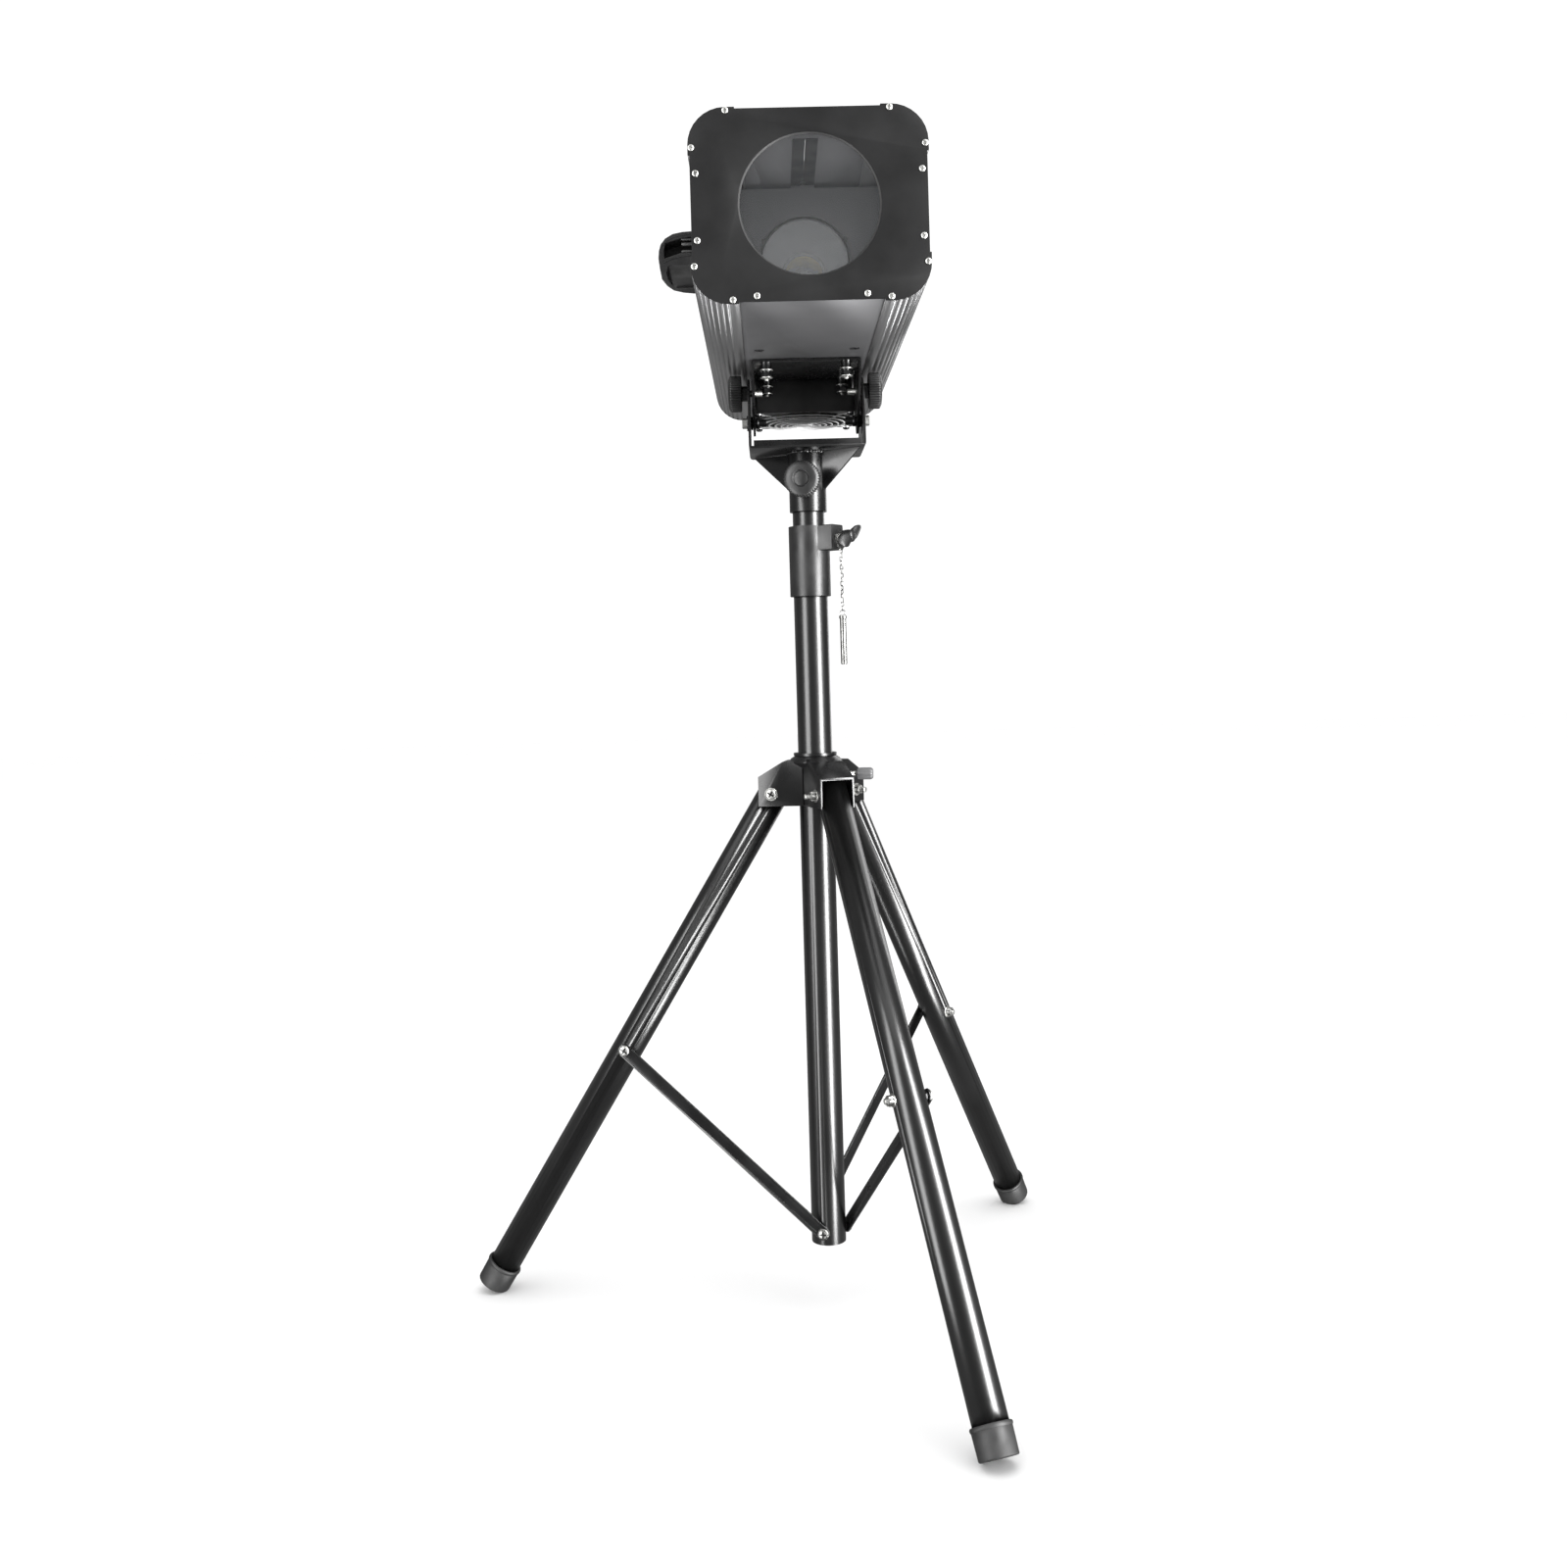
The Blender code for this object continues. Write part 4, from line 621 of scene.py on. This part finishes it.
def build_fan():
    centre = point("fan_spin")
    at_frame = line((centre.x, centre.y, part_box("fan_frame")[0].z), (0, 0, -1), (1, 0, 0))

    # Rings of wire that dome away from the frame, on four bent ribs that end in loops at its corners.
    def height(r):
        return 6.6 - 5.2 * (r / 57) ** 4

    shapes = [wire(circle(12.5 + 7 * i, height(12.5 + 7 * i)), 0.8, closed=True) for i in reversed(range(7))]
    for turn in (45, 135, 225, 315):
        rib = [(r, 0, height(r) - 1.4) for r in (10, 18, 26, 34, 42, 50, 55)]
        rib += [(60, 0, 0.4), (66, 0, 0.4), (70.5, 0, 0.4)]
        loop = [(74.2 + x, y, 0.9) for x, y, _ in circle(3.2, 0, 24)]
        spin = Matrix.Rotation(radians(turn), 4, "Z")
        shapes += [moved(wire(rib, 0.9), spin), moved(wire(loop, 0.9, closed=True), spin)]
    badge = lathe([(0, 7.0), (8, 7.0), (9.2, 6.4), (9.2, 5.4), (0, 5.4)], 48)
    guard = placed(together([*shapes, badge]), at_frame)
    piece("fan_guard_wires", guard, "head", chrome, replaces=["fan_guard"])
    screws = []
    for x in (-52.5, 52.5):
        for y in (-52.5, 52.5):
            corner = at_frame @ Matrix.Translation((x * MM, y * MM, 0))
            screws.append(placed(lifted(crosshead(4.0, 2.6), 1.8), corner))
    piece("fan_screws", together(screws), "head", black_steel)

    hub_low, hub_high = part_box("fan_rotor")
    at_hub = Matrix.Translation((centre.x, centre.y, hub_low.z))
    depth = (hub_high.z - hub_low.z) / MM
    hub = lathe([(0, 0), (17.5, 0), (19.4, 0.8), (20, 2.4), (20, depth), (0, depth)], 64)
    blades = []
    # A blade's section: the share of its chord, and half its thickness with its sign
    section = ((-0.5, 0.3), (-0.2, 1.0), (0.15, 0.9), (0.5, 0.25))
    section += ((0.5, -0.25), (0.15, -0.7), (-0.2, -0.7), (-0.5, -0.3))
    rows = 9
    around = len(section)
    for i in range(FAN_BLADES):
        verts = []
        for k in range(rows):
            share_out = k / (rows - 1)
            r = 19.4 + (54.0 - 19.4) * share_out
            pitch = radians(44 - 16 * share_out)
            sweep = radians(6 * share_out)
            chord = 19 + 9 * share_out
            for share, thick in section:
                along = share * chord
                camber = 1.6 * (1 - 4 * share * share)
                u = along * cos(pitch) - (camber + thick) * sin(pitch)
                w = along * sin(pitch) + (camber + thick) * cos(pitch)
                a = u / r + sweep
                verts.append((r * cos(a), r * sin(a), w + depth / 2))
        faces = []
        for k in range(rows - 1):
            for m in range(around):
                n = (m + 1) % around
                faces.append((k * around + m, k * around + n, (k + 1) * around + n, (k + 1) * around + m))
        faces.append(tuple(reversed(range(around))))
        faces.append(tuple(range((rows - 1) * around, rows * around)))
        blades.append(moved((verts, faces), Matrix.Rotation(2 * pi * i / FAN_BLADES, 4, "Z")))
    rotor = placed(together([hub, *blades]), at_hub)
    piece("fan_blades", rotor, "fan_rotor", nylon, replaces=["fan_rotor"])


# Tilt: bracket, yoke and knobs


def fluted_knob(flutes=40):
    """A hand knob with a crisp fluted rim, a neck below it and a sunk disc in its face."""
    rings = [(0, 0, -6.4), (8.2, 8.2, -6.4), (8.5, 8.5, -6.0), (8.5, 8.5, -0.6), (9.6, 9.6, 0)]
    rings += [(18.4, 18.4, 0), (19.6, 18.7, 0.5), (20, 18.9, 1.4), (20, 18.9, 11.4), (19.5, 18.7, 12.4)]
    rings.append((18.4, 18.2, 13.2))
    rings += [(16.8, 16.8, 13.9), (15.5, 15.5, 14.6), (9.6, 9.6, 15.0), (9.2, 9.2, 14.6), (9.0, 9.0, 13.2)]
    rings += [(8.6, 8.6, 13.0), (7.6, 7.6, 13.6), (4.0, 4.0, 14.3), (0, 0, 14.5)]
    return lofted(rings, flutes * 6, flutes)


def build_tilt():
    knob = fluted_knob()
    for side, sign in (("left", -1), ("right", 1)):
        joint = f"tilt_knob_{side}_turn"
        at_knob = line(point(joint), axis(joint))
        body = f"tilt_knob_{side}"
        grip = placed(knob, at_knob)
        piece(f"tilt_knob_{side}_grip", grip, body, nylon, 25, replaces=[body])
        reach = (point(joint).x - TILT.x) / MM * sign
        stud = placed(threaded(3.9, 47.5 - reach, -5, 1.2), at_knob)
        piece(f"tilt_knob_{side}_stud", stud, body, zinc)

        at_pivot = line(TILT, (sign, 0, 0))
        ring = lifted(washer(8.6, 4.0, 1.6), YOKE_FACE - 0.1)
        piece(f"pivot_washer_{side}", placed(ring, at_pivot), "head", black_steel)
        cap = lathe([(0, 0), (5.9, 0), (5.9, 4.6), (5.2, 5.4), (3.4, 5.4), (3.1, 4.0), (0, 4.0)], 36)
        cap = placed(lifted(cap, YOKE_FACE + 1.5), at_pivot)
        piece(f"pivot_cap_{side}", cap, "head", zinc)

    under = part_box("tilt_bracket")[1].z - 2.5 * MM
    shapes, dark = [], []
    for x in (-42.5, 42.5):
        for y in (-78, 20):
            at_bolt = line((COLUMN.x + x * MM, COLUMN.y + y * MM, under), (0, 0, -1), (1, 0, 0))
            shapes.append(placed(lifted(washer(7.0, 4.0, 1.0), 8.2), at_bolt))
            shapes.append(placed(lifted(washer(6.6, 3.0, 0.9), 16.2), at_bolt))
            shapes.append(placed(lifted(threaded(2.6, 0, 2.4, 0.8), 17.2), at_bolt))
            dark.append(placed(lifted(hexagon(9.6, 5.2), 10.6), at_bolt))
    piece("bracket_washers", together(shapes), "head", zinc)
    piece("bracket_nuts", together(dark), "head", black_steel)

    joint = "pan_knob_turn"
    at_knob = line(point(joint), axis(joint))
    grip = placed(knob, at_knob)
    piece("pan_knob_grip", grip, "pan_knob", nylon, 25, replaces=["pan_knob"])
    stud = threaded(3.9, -14.6, -5, 1.2)
    piece("pan_knob_stud", placed(stud, at_knob), "pan_knob", zinc)

    # The nut that the pan knob's screw runs in, and the weld beads round the socket's top.
    collar = lathe([(7.6, -14.0), (7.6, -10.8), (7.0, -10.2), (4.2, -10.2), (4.2, -14.0)], 36)
    piece("pan_screw_nut", placed(collar, at_knob), "yoke", black_steel)
    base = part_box("yoke")[0].z
    bead = [(21.4 + 0.35 * sin(34 * radians(i * 3)), i) for i in range(120)]
    ring = [(r * cos(radians(3 * i)), r * sin(radians(3 * i)), 0) for r, i in bead]
    at_base = Matrix.Translation((COLUMN.x, COLUMN.y, base - 1.0 * MM))
    piece("socket_weld", placed(wire(ring, 1.4, closed=True), at_base), "yoke", coat_black)
    bolt = together([hexagon(8, 3.6), lifted(threaded(2.6, 0, 4, 0.8), 3.6)])
    at_bolt = Matrix.Translation((COLUMN.x - 0.0475, COLUMN.y - 0.028, base + 2.5 * MM))
    piece("yoke_earth_bolt", placed(bolt, at_bolt), "yoke", black_steel)


# The stand


def build_clamp():
    joint = "wing_knob_turn"
    out = axis(joint)
    at_wing = line(point(joint) + out * 4 * MM, out, out.cross(Vector((0, 0, 1))))
    at_wing = at_wing @ Matrix.Rotation(radians(WING_TURN), 4, "Z")
    # Each wing is an oval that thins and twists towards its tip.
    verts, faces = [], []
    stations, around = 25, 20
    for k in range(stations):
        share = 2 * k / (stations - 1) - 1
        reach = 23.5 * share
        tip = max(1 - abs(share) ** 5, 0.0) ** 0.5
        tall = (4.6 + 3.6 * min(abs(share) * 2, 1)) * max(tip, 0.04)
        deep = (5.0 - 2.6 * abs(share)) * max(tip, 0.04)
        twist = radians(38) * share
        for m in range(around):
            a = 2 * pi * m / around
            v, w = tall * cos(a), deep * sin(a)
            verts.append((reach, v * cos(twist) - w * sin(twist), v * sin(twist) + w * cos(twist)))
    for k in range(stations - 1):
        for m in range(around):
            n = (m + 1) % around
            faces.append((k * around + m, k * around + n, (k + 1) * around + n, (k + 1) * around + m))
    faces.append(tuple(reversed(range(around))))
    faces.append(tuple(range((stations - 1) * around, stations * around)))
    hub = lathe([(0, -8), (6.6, -8), (7.2, -7.2), (7.4, -2), (6.4, 3), (4.6, 4.6), (0, 5)], 40)
    shape = placed(together([(verts, faces), hub]), at_wing)
    piece("wing_knob_grip", shape, "wing_knob", nylon, 50, replaces=["wing_knob"])
    at_knob = line(point(joint), out)
    piece("wing_knob_screw", placed(threaded(3.9, -30.5, -3, 1.2), at_knob), "wing_knob", zinc)


def build_chain():
    swing = axis("chain_swing")
    low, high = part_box("hitch_ring")
    centre = (low + high) / 2
    ring = placed(wire(circle(9.0, 0, 60), 0.9, closed=True), line(centre, swing))
    piece("hitch_ring_wire", ring, "column", chain_steel, replaces=["hitch_ring"])
    top, low = point("chain_swing"), point("locking_pin_swing")
    length = (top - low).length / MM
    links = 15
    pitch = (length + 1.2) / links
    shapes = []
    for i in range(links):
        middle = -(i + 0.5) * pitch + 0.9
        half = pitch / 2 + 0.55
        path = [(1.5 * cos(a), 0, middle + (half - 1.5) * (1 if sin(a) > 0 else -1) + 1.5 * sin(a))
                for a in (2 * pi * (k + 0.5) / 20 for k in range(20))]
        turn = Matrix.Rotation(radians(90 * (i % 2) + 8 * i), 4, "Z")
        shapes.append(moved(wire(path, 0.5, closed=True, sides=8), turn))
    at_top = line(top, (0, 0, 1), swing)
    chain = placed(together(shapes), at_top)
    piece("pin_chain_links", chain, "chain", chain_steel, replaces=["pin_chain"])

    pin_low, pin_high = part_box("locking_pin")
    span = (pin_high.z - pin_low.z) / MM
    at_pin = line(low, (0, 0, -1), swing)
    loop = [(3.1 * cos(a), 0, 3.4 + 3.1 * sin(a)) for a in (2 * pi * k / 24 for k in range(24))]
    eye = wire(loop, 0.75, closed=True)
    collar = lathe([(0, 6.2), (3.9, 6.2), (4.2, 6.8), (4.2, 9.2), (3.6, 9.6), (0, 9.6)], 36)
    shank = lathe([(0, 9.4), (3.5, 9.4), (3.5, span - 1.4), (3.2, span - 0.5), (2.5, span), (0, span)], 36)
    pin = placed(together([eye, collar, shank]), at_pin)
    piece("locking_pin_shank", pin, "locking_pin", chain_steel, replaces=["locking_pin"])


def leg_lines(leg):
    """A leg's upper pivot, its hinge's direction, and the way it runs down."""
    hinge = f"{leg}_leg_fold"
    side, pivot = axis(hinge), point(hinge)
    out = Vector((0, 0, 1)).cross(side).normalized()
    if (pivot - COLUMN).dot(out) < 0:
        out = -out
    down = out * sin(radians(LEG_ANGLE)) - Vector((0, 0, cos(radians(LEG_ANGLE))))
    return pivot, side, down


def build_leg_bolts():
    """Crosshead bolts with washers and nuts at each pivot of the tripod."""
    for leg in LEGS:
        pivot, side, down = leg_lines(leg)
        head, nut = line(pivot, side, down), line(pivot, -side, down)
        bolt = [
            placed(lifted(washer(7.2, 3.2, 0.9), CHANNEL_HALF), head),
            placed(lifted(LEG_BOLT, CHANNEL_HALF + 0.8), head),
            placed(lifted(washer(7.0, 3.2, 0.9), CHANNEL_HALF), nut),
            placed(lifted(hexagon(10, 5.4), CHANNEL_HALF + 0.9), nut),
            placed(threaded(3.05, CHANNEL_HALF + 6, CHANNEL_HALF + 13.2), nut),
        ]
        piece(f"{leg}_pivot_bolt", together(bolt), "collar", zinc)
        place = pivot + down * BRACE_ON_LEG * MM
        head, nut = line(place, side, down), line(place, -side, down)
        bolt_head = placed(lifted(LEG_BOLT, BRACE_FACE - 0.2), head)
        piece(f"{leg}_brace_bolt", bolt_head, f"{leg}_brace", zinc)
        fixed = [
            placed(lifted(washer(6.8, 3.2, 0.9), LEG_SIDE), nut),
            placed(lifted(hexagon(10, 5.6), LEG_SIDE + 0.8), nut),
            placed(threaded(3.05, LEG_SIDE + 6, LEG_SIDE + 9.4), nut),
        ]
        piece(f"{leg}_brace_nut", together(fixed), f"{leg}_leg", zinc)
        spacer = placed(lathe([(0, 16), (4.7, 16), (4.7, 18.9), (0, 18.9)], 32), head)
        piece(f"{leg}_brace_spacer", spacer, f"{leg}_leg", black_steel)
        foot = point(f"{leg}_brace_fold")
        rivet = placed(lifted(LEG_BOLT, BRACE_FACE), line(foot, side, (0, 0, 1)))
        piece(f"{leg}_brace_rivet", rivet, "column", zinc)


def build_collar_knob():
    joint = "collar_knob_turn"
    at_knob = line(point(joint), axis(joint))
    rings = [(0, 0, -3), (5.6, 5.6, -3), (6.4, 5.6, -2.2), (6.7, 5.8, 0), (6.7, 5.8, 11.2)]
    rings += [(6.2, 5.5, 12.8), (5.0, 4.8, 14), (0, 0, 14)]
    grip = placed(lofted(rings, 96, 8), at_knob)
    piece("collar_knob_grip", grip, "collar_knob", grey_nylon, 30, replaces=["collar_knob"])
    piece("collar_knob_screw", placed(threaded(3.0, -30.6, -2.6), at_knob), "collar_knob", zinc)
    nut = lifted(hexagon(10, 4.4), -20)
    piece("collar_nut", placed(nut, at_knob), "collar", black_steel)


def build_feet():
    """A moulded lip round each rubber cap's mouth."""
    profile = [(17.6, -0.2), (19.3, 0), (20.0, 1.2), (20.0, 3.0), (19.3, 4.0), (17.6, 4.0)]
    lip = lathe([(radius, FOOT_LIP + height) for radius, height in profile], 72)
    for leg in LEGS:
        pivot, side, down = leg_lines(leg)
        piece(f"{leg}_foot_lip", placed(lip, line(pivot, down, side)), f"{leg}_leg", rubber)


# Inside the lamp


def build_slot_lips():
    """Two rubber lips that close the focus slot, except where the knob's screw parts them."""
    middle = point("focus_knob_turn")
    lips = []
    for sign in (-1, 1):
        inner, outer = sorted((sign * 0.15, sign * 12))
        lips.append(box((inner, SLOT_FRONT - 4, -0.9), (outer, SLOT_REAR + 4, -0.1)))
    # The heights below are from the panel's inner face.
    at_panel = Matrix.Translation((middle.x, COLUMN.y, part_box("top_panel")[0].z))
    piece("slot_lips", placed(together(lips), at_panel), "head", rubber)


def build_inside():
    low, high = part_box("focus_carriage")
    middle = (low + high) / 2
    face = Vector((middle.x, low.y, joints["iris"]["pos_m"][2]))
    at_face = line(face, (0, -1, 0))
    screws = [placed(SMALL_SCREW, line(face + Vector((x * MM, 0, 0.023)), (0, -1, 0))) for x in (-42, 42)]
    piece("carriage_screws", together(screws), "focus_carriage", zinc)
    rim = lathe([(46.6, 0), (46.6, 1.0), (45.2, 1.4), (44.6, 0.6), (44.6, 0)], 96)
    piece("focus_lens_rim", placed(rim, at_face), "focus_carriage", zinc)
    low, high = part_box("focus_lens")
    at_lens = line((face.x, low.y, face.z), (0, 1, 0))
    back = (high.y - low.y) / MM
    curve = [(44.4 * cos(a), 3.4 + (back - 3.6) * sin(a)) for a in (radians(7.5 * i) for i in range(12))]
    shape = lathe([(0, 0.2), (28, 0.9), (44.4, 3.0), *curve, (0, back - 0.2)], 80)
    glass = placed(shape, at_lens)
    piece("focus_lens_glass", glass, "focus_carriage", inner_glass, replaces=["focus_lens"])

    at_gate = line((face.x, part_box("iris_plate")[0].y, face.z), (0, -1, 0))
    ring = lathe([(22.6, 0), (22.6, 1.2), (21.8, 1.6), (19.9, 1.2), (19.9, 0)], 72)
    piece("iris_gate_rim", placed(ring, at_gate), "head", zinc)
    at_lamp = line((face.x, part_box("lamp_reflector")[1].y - 9.6 * MM, face.z), (0, -1, 0))
    piece("led_board", placed(box((-14, -14, 0), (14, 14, 1.4)), at_lamp), "head", aluminium)
    chip = placed(lathe([(0, 1.2), (10.5, 1.2), (10.2, 2.2), (0, 2.3)], 48), at_lamp)
    piece("led_chip", chip, "head", phosphor)


def build_controls():
    at_knob = line(point("focus_knob_turn"), (0, 0, 1))
    rings = [(0, 0, 0.2), (10.8, 10.8, 0.2), (11.4, 10.7, 1.0), (11.5, 10.7, 2), (11.3, 10.5, 12.6)]
    rings += [(10.6, 10.3, 14.0), (9.2, 9.2, 14.9), (0, 0, 14.9)]
    grip = placed(lofted(rings, 30 * 6, 30), at_knob)
    piece("focus_knob_grip", grip, "focus_knob", nylon, 25, replaces=["focus_knob"])
    shank = threaded(2.9, -17.8, 0.6, 1.0)
    piece("focus_knob_shank", placed(shank, at_knob), "focus_knob", zinc)

    low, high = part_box("rear_panel")
    middle = (low + high) / 2
    half_w, half_h = (high.x - low.x) / 2, (high.z - low.z) / 2
    heads = []
    for sx in (-1, 1):
        for sz in (-1, 1):
            for x, z in ((half_w - 5 * MM, half_h - 50 * MM), (half_w - 36 * MM, half_h - 4.6 * MM)):
                spot = (middle.x + sx * x, high.y, middle.z + sz * z)
                heads.append(placed(HEAD_SCREW, line(spot, (0, 1, 0))))
    for name in ("signal_in", "signal_out"):
        low_s, high_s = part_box(name)
        for sx, sz in ((-1, 1), (1, -1)):
            centre = (low_s + high_s) / 2
            spot = Vector((centre.x + sx * 9.6 * MM, high_s.y, centre.z + sz * 12.2 * MM))
            heads.append(placed(crosshead(1.9, 1.2), line(spot, (0, 1, 0))))
    piece("rear_panel_screws", together(heads), "head", zinc)

    shapes = []
    for name, solid in (("signal_in", True), ("signal_out", False)):
        low_s, high_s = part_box(name)
        centre = (low_s + high_s) / 2
        at_socket = line((centre.x, high_s.y - 12 * MM, centre.z), (0, 1, 0))
        for k in range(3):
            a = radians(90 + 120 * k)
            place = at_socket @ Matrix.Translation((4.4 * cos(a) * MM, 4.4 * sin(a) * MM, 0))
            if solid:
                pin = lathe([(0, -2), (1.3, -2), (1.3, 7.6), (0.7, 8.6), (0, 8.6)], 20)
            else:
                pin = lathe([(1.9, -2), (1.9, 8.6), (1.2, 8.6), (1.2, -2)], 20)
            shapes.append(placed(pin, place))
    piece("signal_contacts", together(shapes), "head", brass)
    low_i, high_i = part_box("power_inlet")
    centre = (low_i + high_i) / 2
    blades = []
    for x, z in ((-6.5, -2), (0, 2.2), (6.5, -2)):
        place = line((centre.x + x * MM, high_i.y - 15.5 * MM, centre.z + z * MM), (0, 1, 0))
        blades.append(placed(box((-2.4, -0.9, -1), (2.4, 0.9, 12)), place))
    piece("inlet_blades", together(blades), "head", zinc, bevel=0.3)

    # Four seven-segment digits that show zeros, with a thin bezel round the window.
    window = Vector((middle.x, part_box("display")[1].y, middle.z + 42 * MM))
    at_window = line(window, (0, 1, 0), (-1, 0, 0))
    bars = []
    # Each bar of a zero: its middle, and half its width and height
    level = [(0, 7.6, 3.2, 0.75), (0, -7.6, 3.2, 0.75)]
    upright = [(x, y, 0.75, 2.9) for y in (3.8, -3.8) for x in (-4.2, 4.2)]
    for digit in range(4):
        x0 = -22.5 + 15 * digit
        for x, y, wide, tall in level + upright:
            bars.append(box((x0 + x - wide, y - tall, -0.2), (x0 + x + wide, y + tall, 0.15)))
    piece("display_digits", placed(together(bars), at_window), "head", lit)
    wide, tall, hole_w, hole_h = 36.5, 17.5, 33.6, 14.6
    foot, top, lap = 0.5, 1.8, 0.1
    bezel = [
        box((-wide, hole_h, foot), (wide, tall, top)),
        box((-wide, -tall, foot), (wide, -hole_h, top)),
        box((-wide, -hole_h - lap, foot), (-hole_w, hole_h + lap, top)),
        box((hole_w, -hole_h - lap, foot), (wide, hole_h + lap, top)),
    ]
    piece("display_bezel", placed(together(bezel), at_window), "head", nylon)


# Stage


def build_stage():
    floor = bpy.data.meshes.new("floor")
    size = 14.0
    corners = [(-size, -size, 0), (size, -size, 0), (size, size, 0), (-size, size, 0)]
    floor.from_pydata(corners, [], [(0, 1, 2, 3)])
    floor_obj = bpy.data.objects.new("floor", floor)
    floor_obj.visible_glossy = False
    floor_obj.visible_shadow = False
    pale = bpy.data.materials.new("pale_floor")
    pale.use_nodes = True
    shader = pale.node_tree.nodes["Principled BSDF"]
    shader.inputs["Base Color"].default_value = (0.93, 0.93, 0.93, 1)
    shader.inputs["Roughness"].default_value = 0.85
    shader.inputs["Specular IOR Level"].default_value = 0.1
    floor.materials.append(pale)
    bpy.context.scene.collection.objects.link(floor_obj)

    world = bpy.data.worlds.new("studio")
    world.use_nodes = True
    background = world.node_tree.nodes["Background"]
    background.inputs["Color"].default_value = (1, 1, 1, 1)
    # Reflections see a dimmer room than the eye does, as black tubes in a tent of white cloth do.
    tree = world.node_tree
    rays = tree.nodes.new("ShaderNodeLightPath")
    dim = tree.nodes.new("ShaderNodeMapRange")
    dim.inputs["To Min"].default_value = ROOM_LIGHT
    dim.inputs["To Max"].default_value = ROOM_REFLECTION
    tree.links.new(rays.outputs["Is Glossy Ray"], dim.inputs["Value"])
    tree.links.new(dim.outputs["Result"], background.inputs["Strength"])
    bpy.context.scene.world = world

    # Each light's name, place, width, height and power. The strips show in reflections only.
    middle = Vector((0, 0, 0.75))
    lights = (
        ("key_strip", (1.72, -1.45, 0.75), 0.8, 5.0, 430),
        ("fill_strip", (-1.6, -1.45, 0.75), 0.9, 5.0, 140),
        ("top_box", (0.2, -0.4, 3.0), 2.4, 2.4, 26),
        ("back_strip", (1.4, 2.2, 1.4), 0.8, 2.0, 12),
        ("inner_glow", INNER_GLOW, 0.12, 0.03, 0.45),
    )
    for name, place, wide, tall, power in lights:
        lamp = bpy.data.lights.new(name, "AREA")
        lamp.shape = "RECTANGLE"
        lamp.size, lamp.size_y = wide, tall
        lamp.energy = power
        obj = bpy.data.objects.new(name, lamp)
        obj.location = place
        inner = name == "inner_glow"
        aim = Vector((0, 1, 0.35)) if inner else middle - Vector(place)
        obj.rotation_euler = aim.to_track_quat("-Z", "Y").to_euler()
        obj.visible_diffuse = not name.endswith("strip")
        obj.visible_glossy = not inner
        bpy.context.scene.collection.objects.link(obj)


def build_camera():
    camera = bpy.data.cameras.new("camera")
    camera.lens = LENS
    camera.sensor_width = 36
    camera.shift_x, camera.shift_y = CAMERA_SHIFT
    obj = bpy.data.objects.new("camera", camera)
    turn = Matrix.Rotation(radians(CAMERA_YAW), 4, "Z") @ Matrix.Rotation(radians(90), 4, "X")
    turn = turn @ Matrix.Rotation(radians(CAMERA_ROLL), 4, "Z")
    place = COLUMN + Vector((*CAMERA_FROM_COLUMN, CAMERA_HEIGHT))
    obj.matrix_world = Matrix.Translation(place) @ turn
    bpy.context.scene.collection.objects.link(obj)
    bpy.context.scene.camera = obj
    bpy.context.scene.view_settings.view_transform = "Standard"


build_camera()
build_stage()
finish_cad_nodes()
build_front()
build_grip()
build_panel_screws()
build_fan()
build_tilt()
build_clamp()
build_chain()
build_leg_bolts()
build_collar_knob()
build_feet()
build_slot_lips()
build_inside()
build_controls()

bpy.context.view_layer.update()
